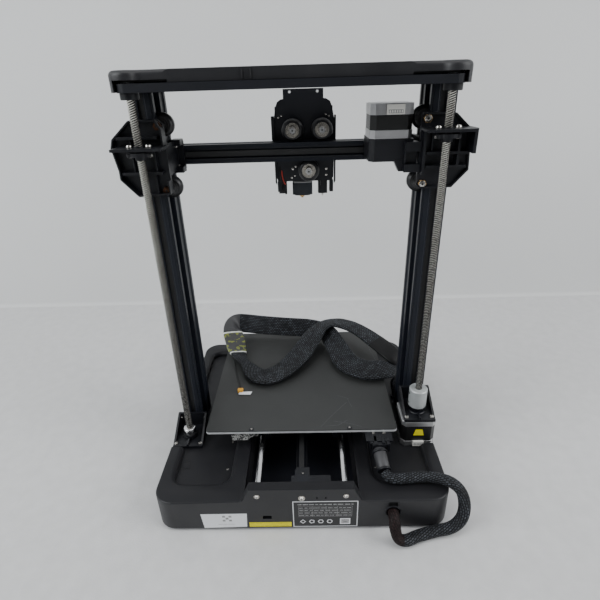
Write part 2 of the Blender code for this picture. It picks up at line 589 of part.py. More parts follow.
def build_gantry():
    build_rail()
    left = ((131.0, 428.5), (157.0, 428.3), (175.9, 411.8), (178.4, 403.5), (174.8, 381.7),
            (175.0, 373.0), (159.0, 355.5), (126.0, 357.5), (126.0, 424.0))
    right = ((-125.5, 428.0), (-157.5, 427.0), (-172.5, 413.4), (-179.5, 409.5), (-181.0, 399.0),
             (-177.5, 392.0), (-174.5, 391.0), (-175.4, 373.7), (-160.2, 356.8), (-129.0, 356.0),
             (-125.5, 359.0))
    bracket("bracket_left", 1, left, (402.4, 405.0), (122.5, 171.0), (379.0, 412.5), ())
    bracket("bracket_right", -1, right, (411.9, 414.5), (-171.0, -125.7), (378.0, 391.0),
            (box((-173.5, -170.5), (39.0, 62.0), (392.0, 414.5)),
             box((-130.0, -127.3), (39.0, 48.0), (371.0, 411.0)),
             box((-163.2, -160.8), (39.0, 48.0), (378.0, 411.0))))
    lead_nut("nut_left", 1, 400.7)
    lead_nut("nut_right", -1, 410.0)
    for side, label in ((1, "left"), (-1, "right")):
        for (x, z), place_name in zip(Z_WHEELS, ("upper", "lower", "outer")):
            v_wheel(f"z_wheel_{label}_{place_name}", side * x, Z_WHEEL_Y, z, Z_WHEEL_R)
    half = MOTOR / 2
    motor_x, motor_y = X_MOTOR
    part("x_motor", "motor",
         prism(rounded((motor_x - half, motor_x + half), (motor_y - half, motor_y + half), 4.0, 1),
               "z", *X_MOTOR_Z),
         add=[cylinder("z", X_MOTOR, 2.5, 386.0, 405.0, 12),
              cylinder("z", X_MOTOR, 5.9, 385.4, 391.4, 20)])
    front, rear, edge = GAP + RAIL_Y + RAIL_HALF, 35.5, motor_x + half
    plan = ((-120.0, front), (edge, front), (edge, rear - 5.0), (edge - 5.0, rear), (-120.0, rear))
    drop = ((-124.6, 372.6), (-107.0, 372.6), (-101.5, 384.0), (-124.6, 384.0))
    part("x_motor_bracket", "matte_plastic",
         prism(plan, "z", 382.3, 404.0),
         add=[prism(drop, "y", 27.0, 36.0),
              box((-124.6, -111.0), (27.0, 41.0), (372.6, 401.4)),
              box((-126.8, -111.0), (39.9, 43.0), (392.4, 401.4)),
              box((-126.8, -111.0), (39.9, 43.0), (372.6, 380.3))],
         cut=[box((-117.0, edge - 2.5), (-15.0, rear - 5.5), (384.6, 396.0)),
              box((-127.0, -112.5), (36.5, 45.0), (380.3, 392.4)),
              cylinder("z", X_MOTOR, 6.6, 390.0, 410.0, 20)])


# ---- Print head ----------------------------------------------------------------------------

def build_head():
    plate = ((-33.5, 451.0), (10.9, 451.0), (10.9, 441.0), (14.0, 440.6), (17.8, 438.0), (20.6, 431.0),
             (22.0, 419.0), (22.0, 356.0), (18.0, 352.0), (-41.0, 352.0), (-45.0, 356.0),
             (-45.7, 398.0), (-45.7, 419.0), (-43.4, 431.5), (-41.0, 438.0), (-36.5, 440.6),
             (-33.5, 441.0))
    near = RAIL_Y - WHEEL_WIDTH / 2
    far = RAIL_Y + WHEEL_WIDTH / 2
    bolts = []
    for wheel in X_WHEELS:
        bolts.append(cylinder("y", wheel, 4.0, -34.0, near - GAP, 12))
        bolts.append(cylinder("y", wheel, 2.45, near - 1.0, far + 1.0, 12))
        bolts.append(cylinder("y", wheel, 4.4, far + GAP, far + 3.8, 12))
    part("carriage_plate", "painted_steel", prism(plate, "y", *HEAD_PLATE_Y), add=bolts,
         cut=[cylinder("y", (x, 448.0), 1.7, -40.0, -30.0, 12) for x in (-27.0, 3.5)])
    for index, (x, z) in enumerate(X_WHEELS, start=1):
        v_wheel(f"carriage_wheel_{index}", x, RAIL_Y, z, X_WHEEL_R)
    front, rear = -84.0, HEAD_PLATE_Y[0] - GAP
    part("head_cover", "black_plastic",
         prism(rounded((-44.0, 21.0), (front, rear), 8.0, 4, (1, 1, 0, 0)), "z", 350.0, 433.0),
         add=[box((12.6, 20.5), (-72.0, -46.0), (335.0, 356.0))],
         cut=[box((-42.0, 19.0), (front + 2.0, -30.0), (357.0, 431.0)),
              box((-42.0, 12.4), (front + 2.0, -30.0), (340.0, 358.0)),
              cylinder("y", FAN, 19.4, front - 5.0, front + 5.0)])
    part("cooling_fan", "matte_plastic", cylinder("y", FAN, 18.6, front + 2.3, front + 7.0),
         pivot=(FAN[0], front, FAN[1]))
    part("extruder_motor", "motor", cylinder("y", (-12.0, 410.0), 17.5, -74.0, -52.0))
    x, y, tip = NOZZLE
    part("hot_end", "silicone", box((-20.3, 4.1), (-70.0, -49.0), (330.9, 347.6)),
         add=[cylinder("z", (x, y), 3.0, 346.0, 355.0, 12),
              box((-20.0, 5.0), (-70.0, -48.0), (353.0, 388.0))])
    profile = ((0.3, tip), (0.7, tip), (3.4, tip + 2.4), (3.4, 330.6), (0.3, 330.6))
    part("nozzle", "brass", turned("z", (x, y), profile, 16))
    part("probe_body", "matte_plastic", box((-38.6, -27.5), (-64.0, -52.0), (333.0, 352.0)),
         add=[box((-36.0, -30.0), (-53.0, rear), (345.0, 352.0))],
         cut=[cylinder("z", PROBE, 1.7, 330.0, 343.0, 12)])
    part("probe_pin", "steel", cylinder("z", PROBE, 1.3, 329.6, 339.0, 12), pivot=(*PROBE, 329.6))


# ---- Cords ---------------------------------------------------------------------------------

def build_cords():
    cord("bed_cable", "braid", BED_CABLE, BED_CABLE_R)
    cord("harness", "braid", HARNESS, HARNESS_R)
    part("harness_plug", "matte_plastic", box((-149.5, -139.5), (-59.0, -41.0), (BASIN_FLOOR + GAP, 50.6)))


def main():
    for obj in list(bpy.data.objects):
        bpy.data.objects.remove(obj)
    build_base()
    build_y_axis()
    build_bed()
    build_frame()
    build_z_axis()
    build_gantry()
    build_head()
    build_cords()


main()
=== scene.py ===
"""Looks of the open-frame FDM printer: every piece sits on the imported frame.

Shapes below are written in millimetres in the model's own frame and scaled to metres.
+X is the side with the plain foot bracket, +Y is the rear of the printer and +Z is up.
"""
import math
import random

import bmesh
import bpy
from mathutils import Matrix, Vector


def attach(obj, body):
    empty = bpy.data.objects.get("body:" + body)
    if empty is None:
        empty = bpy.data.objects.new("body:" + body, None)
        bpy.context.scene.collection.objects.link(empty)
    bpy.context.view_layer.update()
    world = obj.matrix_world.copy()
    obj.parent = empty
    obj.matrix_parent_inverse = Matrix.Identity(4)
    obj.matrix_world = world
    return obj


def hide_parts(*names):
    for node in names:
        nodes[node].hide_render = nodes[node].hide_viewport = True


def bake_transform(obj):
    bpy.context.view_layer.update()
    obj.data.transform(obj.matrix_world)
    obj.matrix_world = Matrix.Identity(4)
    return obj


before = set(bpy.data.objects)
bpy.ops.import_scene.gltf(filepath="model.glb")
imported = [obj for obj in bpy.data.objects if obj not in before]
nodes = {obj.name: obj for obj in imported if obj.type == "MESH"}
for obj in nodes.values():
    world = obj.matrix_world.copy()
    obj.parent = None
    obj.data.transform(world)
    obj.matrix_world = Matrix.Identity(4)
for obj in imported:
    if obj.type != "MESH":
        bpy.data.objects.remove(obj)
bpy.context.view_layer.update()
scene = bpy.context.scene
MM = 0.001

# Places in millimetres that several pieces share.
UPRIGHT_X = 146.8   # the uprights and the lead screws, either side of the middle
SCREW_Y = 55.95     # the lead screws' axes
SIDE_X = 166.35     # the base's side walls
REAR_Y = 164.05     # the base's rear wall
DECK_Z = 46         # the tops of the base's two side blocks
ROD_X = 48.6        # the bed's two rods
SHEET_Z = 75        # the top of the build sheet
RAIL_Y = -20.55     # the middle of the X beam
PLATE_Y = -33.5     # the rear face of the carriage plate
COVER_Z = 470.5     # the top of the top cover
Z_WHEELS = {"upper": (131, 422.5), "lower": (131, 360.5), "outer": (162.6, 390)}
CARRIAGE_WHEELS = ((1.2, 410), (-31.3, 410), (-16, 366.5))


def add_object(name, data):
    obj = bpy.data.objects.new(name, data)
    scene.collection.objects.link(obj)
    return obj


# ---- Camera ----

def build_camera():
    data = bpy.data.cameras.new("camera")
    data.lens = 26.22
    data.sensor_width = 36
    camera = add_object("camera", data)
    right = Vector((-0.99959, -0.00718, -0.02754)).normalized()
    back = Vector((-0.01863, 0.89669, 0.44229)).normalized()
    up = back.cross(right).normalized()
    right = up.cross(back)
    turn = Matrix((right, up, back)).transposed()
    camera.matrix_world = Matrix.Translation((-0.0121, 0.49495, 0.455)) @ turn.to_4x4()
    scene.camera = camera


# ---- Materials ----

def set_inputs(node, **values):
    """Set a node's inputs by name, with _ for a space."""
    for name, value in values.items():
        node.inputs[name.replace("_", " ")].default_value = value


def map_range(tree, source, low, high, to_low, to_high):
    step = tree.nodes.new("ShaderNodeMapRange")
    set_inputs(step, From_Min=low, From_Max=high, To_Min=to_low, To_Max=to_high)
    tree.links.new(source, step.inputs["Value"])
    return step.outputs["Result"]


class Look:
    """A node material built step by step on one Principled shader."""

    def __init__(self, name, colour, roughness, metallic=0, specular=0.5):
        self.material = bpy.data.materials.new(name)
        self.material.use_nodes = True
        self.tree = self.material.node_tree
        self.shader = self.tree.nodes["Principled BSDF"]
        set_inputs(self.shader, Base_Color=(*colour, 1), Roughness=roughness, Metallic=metallic,
                   Specular_IOR_Level=specular)
        self.colour = colour
        self.roughness = roughness
        self.height = None
        self.where = self.node("ShaderNodeTexCoord").outputs["Object"]

    def node(self, kind, **settings):
        made = self.tree.nodes.new(kind)
        for key, value in settings.items():
            setattr(made, key, value)
        return made

    def link(self, source, target):
        self.tree.links.new(source, target)

    def noise(self, scale, detail=3, stretch=None):
        """Noise over the piece, at a scale given in features per metre."""
        where = self.where
        if stretch:
            mapping = self.node("ShaderNodeMapping")
            set_inputs(mapping, Scale=stretch)
            self.link(where, mapping.inputs["Vector"])
            where = mapping.outputs["Vector"]
        texture = self.node("ShaderNodeTexNoise")
        set_inputs(texture, Scale=scale, Detail=detail)
        self.link(where, texture.inputs["Vector"])
        return texture.outputs["Fac"]

    def spread(self, source, low, high, to_low, to_high):
        return map_range(self.tree, source, low, high, to_low, to_high)

    def blend_colour(self, fac, first, second):
        mix = self.node("ShaderNodeMix", data_type="RGBA")
        self.link(fac, mix.inputs["Factor"])
        for socket, value in ((mix.inputs[6], first), (mix.inputs[7], second)):
            if isinstance(value, tuple):
                socket.default_value = (*value, 1)
            else:
                self.link(value, socket)
        return mix.outputs[2]

    def mottle(self, scale, amount, stretch=None):
        """Lighter and darker areas round the base colour."""
        fac = self.spread(self.noise(scale, 4, stretch), 0.3, 0.7, 0, 1)
        dark = tuple(c * (1 - amount) for c in self.colour)
        light = tuple(min(1, c * (1 + amount)) for c in self.colour)
        self.link(self.blend_colour(fac, dark, light), self.shader.inputs["Base Color"])
        return self

    def speckle(self, source, edge, dark, light):
        """Two colours, split where a noise passes through a narrow range."""
        patch = self.spread(source, *edge, 0, 1)
        self.link(self.blend_colour(patch, dark, light), self.shader.inputs["Base Color"])

    def vary_gloss(self, scale, amount, stretch=None):
        rough = self.spread(self.noise(scale, 4, stretch), 0.3, 0.7,
                            max(0.03, self.roughness - amount), min(1, self.roughness + amount))
        self.link(rough, self.shader.inputs["Roughness"])
        return self

    def bump(self, height, distance, strength=1):
        made = self.node("ShaderNodeBump")
        set_inputs(made, Distance=distance, Strength=strength)
        self.link(height, made.inputs["Height"])
        if self.height:
            self.link(self.height, made.inputs["Normal"])
        self.height = made.outputs["Normal"]
        self.link(self.height, self.shader.inputs["Normal"])
        return self

    def grain(self, scale, distance, stretch=None, strength=1):
        return self.bump(self.noise(scale, 2, stretch), distance, strength)


def braid_look(name, across, along, dark, light, slant=0):
    """Braided sleeving: rows of short dashes, from a surface map in millimetres."""
    look = Look(name, dark, 0.6, 0, 0.25)
    uv = look.node("ShaderNodeUVMap", uv_map="route")
    mapping = look.node("ShaderNodeMapping")
    set_inputs(mapping, Rotation=(0, 0, slant))
    look.link(uv.outputs["UV"], mapping.inputs["Vector"])
    bricks = look.node("ShaderNodeTexBrick", offset=0.5)
    faded = tuple(0.35 * c for c in light)
    set_inputs(bricks, Scale=1, Brick_Width=along, Row_Height=across, Mortar_Size=across * 0.3,
               Mortar_Smooth=0.6, Color1=(*light, 1), Color2=(*faded, 1), Mortar=(*dark, 1))
    look.link(mapping.outputs["Vector"], bricks.inputs["Vector"])
    patches = look.spread(look.noise(90, 2), 0.36, 0.56, 0.5, 1)
    colour = look.blend_colour(patches, dark, bricks.outputs["Color"])
    look.link(colour, look.shader.inputs["Base Color"])
    look.bump(look.spread(bricks.outputs["Fac"], 0, 1, 1, 0), 0.0006)
    return look.material


# What each finish is: material name, colour, roughness, metallic and specular, then its mottling
# (features per metre, amount), varied gloss (the same) and grain (features per metre, depth in
# metres). A third value stretches the pattern along the axes.
FINISHES = {
    "cover": ("moulded_black", (0.0165, 0.0165, 0.0185), 0.43, 0, 0.45,
        (14, 0.12), (40, 0.06), (2600, 0.00004)),
    # cover_top_shade is a darker, duller copy of the cover plastic: painted shade on upward faces.
    "cover_top_shade": ("moulded_black_top", (0.0085, 0.0085, 0.0105), 0.5, 0, 0.3,
        (14, 0.12), (40, 0.06), (2600, 0.00004)),
    "matte": ("moulded_matte", (0.0055, 0.006, 0.0085), 0.42, 0, 0.38,
        (30, 0.15), (60, 0.08), (2200, 0.00003)),
    "steel_black": ("powder_coat", (0.007, 0.0078, 0.0115), 0.44, 0, 0.38,
        (25, 0.12), None, (1800, 0.00005)),
    "anodised": ("anodised_black", (0.0085, 0.0105, 0.016), 0.42, 0, 0.3,
        (90, 0.18, (1, 1, 0.04)), (500, 0.07, (1, 1, 0.01)), (3500, 0.00001, (1, 1, 0.02))),
    "anodised_x": ("anodised_black_rail", (0.006, 0.0078, 0.013), 0.4, 0, 0.32,
        (90, 0.18, (0.04, 1, 1)), (500, 0.07, (0.01, 1, 1)), (3500, 0.00001, (0.02, 1, 1))),
    # groove is near black, set into screw drives, sockets, holes, slots and grooves: painted shade
    # in recesses.
    "groove": ("groove_black", (0.003, 0.003, 0.0035), 0.6, 0, 0.5, (60, 0.3)),
    "silver": ("cast_silver", (0.52, 0.52, 0.525), 0.34, 0.9, 0.5,
        (60, 0.06), (120, 0.06), (1500, 0.00004)),
    "laminate": ("motor_laminate", (0.012, 0.012, 0.012), 0.36, 0.2, 0.5,
        (120, 0.2), None, (160, 0.00008, (0.02, 0.02, 12))),
    "turned": ("turned_aluminium", (0.43, 0.45, 0.45), 0.42, 0.4, 0.5,
        (80, 0.05), None, (250, 0.00004, (0.05, 0.05, 8))),
    "bed_edge": ("bed_aluminium", (0.62, 0.63, 0.64), 0.42, 0.25, 0.5,
        (70, 0.1), None, (800, 0.00003)),
    "screw": ("screw_steel", (0.62, 0.6, 0.56), 0.22, 1, 0.5, (300, 0.12), (400, 0.06)),
    # thread and thread_root split one steel: the crests take a brightened steel as painted
    # highlight, the roots a near black as painted shade.
    "thread": ("thread_steel", (0.96, 0.91, 0.82), 0.3, 0.55, 0.5, (30, 0.12), (200, 0.06)),
    "thread_root": ("thread_root", (0.015, 0.014, 0.012), 0.5, 0.3, 0.5),
    "chrome": ("hard_chrome", (0.74, 0.74, 0.75), 0.17, 1, 0.5, (12, 0.04)),
    "brass": ("brass", (0.66, 0.43, 0.2), 0.28, 1, 0.5, (200, 0.2), (200, 0.08)),
    # brass_in_shade is a near-black copy of brass: painted shade on the nuts at the +X side.
    "brass_in_shade": ("shaded_brass", (0.07, 0.03, 0.013), 0.45, 0.7, 0.5, (200, 0.25)),
    "rubber": ("belt_rubber", (0.012, 0.012, 0.0125), 0.62, 0, 0.5,
        (80, 0.2), None, (900, 0.00005)),
    "tyre": ("wheel_tyre", (0.012, 0.012, 0.013), 0.36, 0, 0.5, (60, 0.15), (90, 0.07)),
    "shield": ("bearing_steel", (0.5, 0.47, 0.42), 0.27, 1, 0.5, (240, 0.15), (240, 0.06)),
    "sock": ("silicone_sock", (0.02, 0.025, 0.033), 0.6, 0, 0.5, (90, 0.15), None, (700, 0.00006)),
    "white_plastic": ("white_plastic", (0.72, 0.71, 0.66), 0.4, 0, 0.5, (120, 0.06)),
    "paper": ("label_paper", (0.8, 0.81, 0.83), 0.6, 0, 0.5, (60, 0.03)),
    "yellow": ("label_yellow", (0.8, 0.7, 0.005), 0.55, 0, 0.3, (80, 0.06)),
    "label_black": ("label_black", (0.012, 0.012, 0.013), 0.35, 0, 0.5, (80, 0.1)),
    "print_grey": ("label_print", (0.3, 0.3, 0.3), 0.5, 0, 0.5, (500, 0.4)),
    "orange": ("connector_orange", (0.75, 0.36, 0.02), 0.4, 0, 0.5, (300, 0.2)),
    "red": ("red_wire", (0.5, 0.035, 0.02), 0.4, 0, 0.5, (200, 0.15)),
    "green": ("circuit_board", (0.01, 0.07, 0.03), 0.4, 0, 0.5, (150, 0.3), None, (400, 0.0001)),
    "galvanised": ("galvanised_case", (0.5, 0.51, 0.52), 0.4, 0.9, 0.5, (60, 0.15), (60, 0.08)),
    "grey_sleeve": ("heat_shrink", (0.04, 0.04, 0.043), 0.45, 0, 0.5,
        (60, 0.2), None, (500, 0.00012)),
    # steel_in_shade is a dark copy of bearing steel: painted shade on the Z rollers' bearings.
    "steel_in_shade": ("shaded_steel", (0.1, 0.1, 0.1), 0.35, 0.8, 0.5, (200, 0.3)),
    "tape_white": ("tape_border", (0.62, 0.63, 0.6), 0.3, 0, 0.5, (100, 0.1)),
    "tape_mark": ("tape_mark", (0.3, 0.34, 0.03), 0.35, 0, 0.5, (200, 0.35)),
    "scratch": ("sheet_scratch", (0.075, 0.082, 0.09), 0.55, 0, 0.5, (300, 0.3)),
    "sleeve_black": ("sleeve_black", (0.0025, 0.0025, 0.003), 0.45, 0, 0.3, (60, 0.2)),
}


def build_looks():
    looks = {}
    for key, (name, colour, roughness, metallic, specular, *variations) in FINISHES.items():
        look = Look(name, colour, roughness, metallic, specular)
        for vary, values in zip((look.mottle, look.vary_gloss, look.grain), variations):
            if values:
                vary(*values)
        looks[key] = look.material

    film = Look("clear_tape", (0.06, 0.06, 0.06), 0.16)
    film.speckle(film.noise(150, 1), (0.55, 0.6), (0.03, 0.03, 0.03), (0.15, 0.17, 0.025))
    looks["film"] = film.grain(160, 0.0003).material
    sheet = Look("textured_sheet", (0.027, 0.028, 0.0275), 0.5, 0, 0.42)
    sheet.mottle(9, 0.1).vary_gloss(22, 0.06).grain(1500, 0.0001).grain(420, 0.00006)
    looks["sheet"] = sheet.material
    foam = Look("speckled_foam", (0.09, 0.09, 0.09), 0.95)
    foam.speckle(foam.noise(520, 2), (0.47, 0.58), (0.03, 0.03, 0.03), (0.5, 0.5, 0.48))
    looks["foam"] = foam.grain(420, 0.0008).material

    black = (0.0015, 0.0015, 0.002)
    looks["braid_flat"] = braid_look("flat_braid", 2.6, 4.2, black, (0.085, 0.093, 0.108))
    looks["braid_round"] = braid_look("round_braid", 2.4, 3.8, black, (0.075, 0.082, 0.095),
                                      slant=0.4)
    looks["braid_red"] = braid_look("red_braid", 2.4, 3.8, (0.0045, 0.001, 0.001),
                                    (0.03, 0.014, 0.014), slant=0.4)
    return looks


LOOKS = build_looks()


# ---- Shape helpers ----

def place(axis, a, b, along):
    """A point from its two coordinates across an axis and one along it."""
    if axis == "x":
        return (along, a, b)
    if axis == "y":
        return (a, along, b)
    return (a, b, along)


def arc(centre, radius, start, end, steps):
    points = []
    for i in range(steps + 1):
        angle = math.radians(start + (end - start) * i / steps)
        points.append((centre[0] + radius * math.cos(angle), centre[1] + radius * math.sin(angle)))
    return points


def circle(centre, radius, sides):
    return arc(centre, radius, 0, 360, sides)[:-1]


def toothed(centre, radii, sides):
    """A circle whose points take their radii in turn."""
    return [circle(centre, radii[i % len(radii)], sides)[i] for i in range(sides)]


def hoop(centre, across, other, radius, sides):
    """A circle in space, spanned by two directions."""
    return [centre + radius * (a * across + b * other) for a, b in circle((0, 0), 1, sides)]


def rounded(x, y, radius, steps=5, corners=(1, 1, 1, 1)):
    """A rectangle with round corners, anticlockwise from the low corner."""
    ends = ((x[1], y[0], -90), (x[1], y[1], 0), (x[0], y[1], 90), (x[0], y[0], 180))
    points = []
    for (cx, cy, start), on in zip(ends, (corners[1], corners[2], corners[3], corners[0])):
        if on:
            centre = (cx - math.copysign(radius, cx - sum(x) / 2),
                      cy - math.copysign(radius, cy - sum(y) / 2))
            points += arc(centre, radius, start, start + 90, steps)
        else:
            points.append((cx, cy))
    return points


def chamfered(x, y, cut):
    """A rectangle with its corners cut off."""
    return [(x[0] + cut, y[0]), (x[1] - cut, y[0]), (x[1], y[0] + cut), (x[1], y[1] - cut),
            (x[1] - cut, y[1]), (x[0] + cut, y[1]), (x[0], y[1] - cut), (x[0], y[0] + cut)]


class Shape:
    """Millimetre geometry that becomes one named piece."""

    def __init__(self, look="matte"):
        self.bm = bmesh.new()
        self.looks = []
        self.usual = look

    def slot(self, look):
        look = look or self.usual
        if look not in self.looks:
            self.looks.append(look)
        return self.looks.index(look)

    def face(self, verts, look):
        try:
            made = self.bm.faces.new(verts)
        except ValueError:
            return
        made.material_index = self.slot(look)

    def rings(self, rings, look=None, closed=False):
        """A skin over rings of points that all have the same count."""
        made = [[self.bm.verts.new(p) for p in ring] for ring in rings]
        count = len(made)
        for i in range(count if closed else count - 1):
            first, second = made[i], made[(i + 1) % count]
            for k in range(len(first)):
                m = (k + 1) % len(first)
                self.face((first[k], first[m], second[m], second[k]), look)
        if not closed:
            self.face(list(reversed(made[0])), look)
            self.face(made[-1], look)
        return made

    def prism(self, outline, axis, low, high, look=None):
        self.rings([[place(axis, a, b, low) for a, b in outline],
                    [place(axis, a, b, high) for a, b in outline]], look)
        return self

    def box(self, x, y, z, look=None):
        corners = ((x[0], y[0]), (x[1], y[0]), (x[1], y[1]), (x[0], y[1]))
        return self.prism(corners, "z", *z, look)

    def turned(self, axis, centre, profile, look=None, sides=32, closed=True):
        """A surface turned about an axis from (radius, distance along) points."""
        rings = [[place(axis, a, b, along) for a, b in circle(centre, radius, sides)]
                 for radius, along in profile]
        self.rings(rings, look, closed=closed)
        return self

    def disc(self, axis, centre, radius, low, high, look=None, sides=32, lip=0.25):
        """A short cylinder with a small chamfer at both ends."""
        step = math.copysign(min(lip, abs(high - low) / 3), high - low)
        profile = ((radius - lip, low), (radius, low + step), (radius, high - step),
                   (radius - lip, high))
        return self.turned(axis, centre, profile, look, sides, closed=False)

    def screw(self, point, axis, way, radius=2.8, drive="cross"):
        """A pan-head screw whose head stands off a surface at point."""
        spots = {"x": (1, 2, 0), "y": (0, 2, 1), "z": (0, 1, 2)}[axis]
        centre = (point[spots[0]], point[spots[1]])
        base = point[spots[2]]
        tall = radius * 0.62
        profile = [(radius * 1.04, base), (radius, base + way * tall * 0.35),
                   (radius * 0.86, base + way * tall * 0.8), (radius * 0.5, base + way * tall)]
        self.turned(axis, centre, profile, "screw", 20, closed=False)
        top = base + way * (tall + 0.04)
        low = base + way * tall * 0.7
        ends = (min(top, low), max(top, low))
        # The drive recess is a near-black cross or hexagon set into the head: painted shade.
        if drive == "cross":
            for wide, high in ((radius * 0.42, radius * 0.1), (radius * 0.1, radius * 0.42)):
                outline = [(centre[0] + a * wide, centre[1] + b * high)
                           for a, b in ((-1, -1), (1, -1), (1, 1), (-1, 1))]
                self.prism(outline, axis, *ends, "groove")
        else:
            self.prism(circle(centre, radius * 0.45, 6), axis, *ends, "groove")
        return self

    def mesh(self, name):
        bmesh.ops.recalc_face_normals(self.bm, faces=self.bm.faces)
        made = bpy.data.meshes.new(name)
        self.bm.to_mesh(made)
        self.bm.free()
        return made

    def finish(self, name, body, slot, replaces=(), **options):
        bmesh.ops.remove_doubles(self.bm, verts=self.bm.verts, dist=0.001)
        return finish_mesh(name, self.mesh(name), self.looks, body, slot, replaces, **options)


def finish_mesh(name, mesh, looks, body, slot, replaces=(), bevel=0, segments=2, smooth=35):
    """Scale a millimetre mesh to metres, give it its finishes, parent it to its body and hide the
    nodes it replaces.
    """
    mesh.transform(Matrix.Scale(MM, 4))
    for look in looks:
        mesh.materials.append(LOOKS[look])
    obj = add_object(name, mesh)
    mesh.shade_smooth()
    mesh.set_sharp_from_angle(angle=math.radians(smooth))
    if bevel:
        soften(obj, bevel, segments)
    if body:
        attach(obj, body)
    if replaces:
        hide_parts(*replaces)
    return obj


def soften(obj, width, segments=2, angle=32):
    """Small rounded edges that catch the light."""
    edges = obj.modifiers.new("edges", "BEVEL")
    edges.width = width * MM
    edges.segments = segments
    edges.limit_method = "ANGLE"
    edges.angle_limit = math.radians(angle)
    edges.use_clamp_overlap = True
    edges.harden_normals = True


def combine(target, operation, *tools):
    """Join loose objects to another, or cut them from it."""
    for tool in tools:
        step = target.modifiers.new("step", "BOOLEAN")
        step.operation = operation
        step.solver = "EXACT"
        step.object = tool
        graph = bpy.context.evaluated_depsgraph_get()
        mesh = bpy.data.meshes.new_from_object(target.evaluated_get(graph))
        target.modifiers.clear()
        target.data = mesh
        bpy.data.objects.remove(tool)


def cut(target, *tools):
    combine(target, "DIFFERENCE", *tools)


def box_tool(x, y, z):
    """A loose box, in millimetres, used while cutting."""
    return add_object("loose", Shape().box(x, y, z).mesh("loose"))


def prism_tool(outline, axis, low, high):
    return add_object("loose", Shape().prism(outline, axis, low, high).mesh("loose"))


def round_edges(obj, chosen, width, segments, clamp=True):
    """Round off the edges that a test picks, working on the mesh itself."""
    bm = bmesh.new()
    bm.from_mesh(obj.data)
    bmesh.ops.dissolve_limit(bm, angle_limit=math.radians(0.5), verts=bm.verts, edges=bm.edges)
    edges = [e for e in bm.edges if len(e.link_faces) == 2 and e.calc_face_angle(0) > 0.3
             and chosen(*(v.co for v in e.verts))]
    bmesh.ops.bevel(bm, geom=edges, offset=width, offset_type="OFFSET", segments=segments,
                    profile=0.5, affect="EDGES", clamp_overlap=clamp)
    bm.to_mesh(obj.data)
    bm.free()


def take(obj, name, look, body, slot, replaces=(), top=None, **options):
    """Turn a loose cut object into a finished piece; top names a darker copy of its finish, painted
    shade, for its upward faces.
    """
    mesh = obj.data
    bpy.data.objects.remove(obj)
    mesh.materials.clear()
    for polygon in mesh.polygons:
        polygon.material_index = 1 if top and polygon.normal.z > 0.75 else 0
    mesh.name = name
    return finish_mesh(name, mesh, [look, top] if top else [look], body, slot, replaces, **options)


# CAD nodes that keep their own shape: finish, width of the softened edges and its steps.
DRESSED = {
    "bottom_plate": ("steel_black", 0.4), "mainboard": ("green", 0.3),
    "power_supply": ("galvanised", 0.6), "power_switch": ("matte", 0.6),
    "y_belt": ("rubber",), "y_motor": ("laminate", 0.6), "y_idler_block": ("steel_black", 0.5),
    "bed_plate": ("bed_edge", 0.5), "build_sheet": ("sheet", 0.2),
    "y_carriage": ("steel_black", 0.4), "cable_clamp": ("matte", 0.5),
    "harness_plug": ("matte", 0.5), "top_beam": ("steel_black", 0.7, 3), "sync_belt": ("rubber",),
    "z_motor_bracket": ("matte", 0.6, 3), "left_foot_bracket": ("matte", 0.6, 3),
    "bracket_left": ("matte", 0.5, 3), "bracket_right": ("matte", 0.5, 3),
    "x_motor_bracket": ("matte", 0.7, 3), "nut_left": ("matte", 0.2), "nut_right": ("matte", 0.2),
    "x_beam": ("anodised_x", 0.35), "x_belt": ("rubber",), "carriage_plate": ("steel_black", 0.3),
    "head_cover": ("cover", 0.6, 3), "nozzle": ("brass",), "probe_body": ("matte", 0.4),
    "probe_pin": ("white_plastic",),
}


def dress_nodes():
    for node, (look, *edges) in DRESSED.items():
        obj = nodes[node]
        obj.data.materials.clear()
        obj.data.materials.append(LOOKS[look])
        if edges:
            soften(obj, *edges)


# ---- Cords ----

BED_CABLE = (
    (-96.2, 132.2, 52.6), (-99, 137.2, 52.1), (-106.5, 140.2, 52), (-120, 139.8, 52.2),
    (-137, 138.6, 52.8), (-154, 141.5, 53.6), (-166.5, 147, 53.2), (-176.5, 153, 46.5),
    (-180.5, 159.5, 33), (-177, 166, 18.5), (-165, 170.5, 9.5), (-147, 172.5, 6.6),
    (-128, 177.5, 6.2), (-114, 183, 6.4), (-105, 183.5, 10), (-101.5, 180, 18.5),
    (-101, 174, 25.6), (-101, 168, 28.2), (-101, 162.6, 28.3),
)
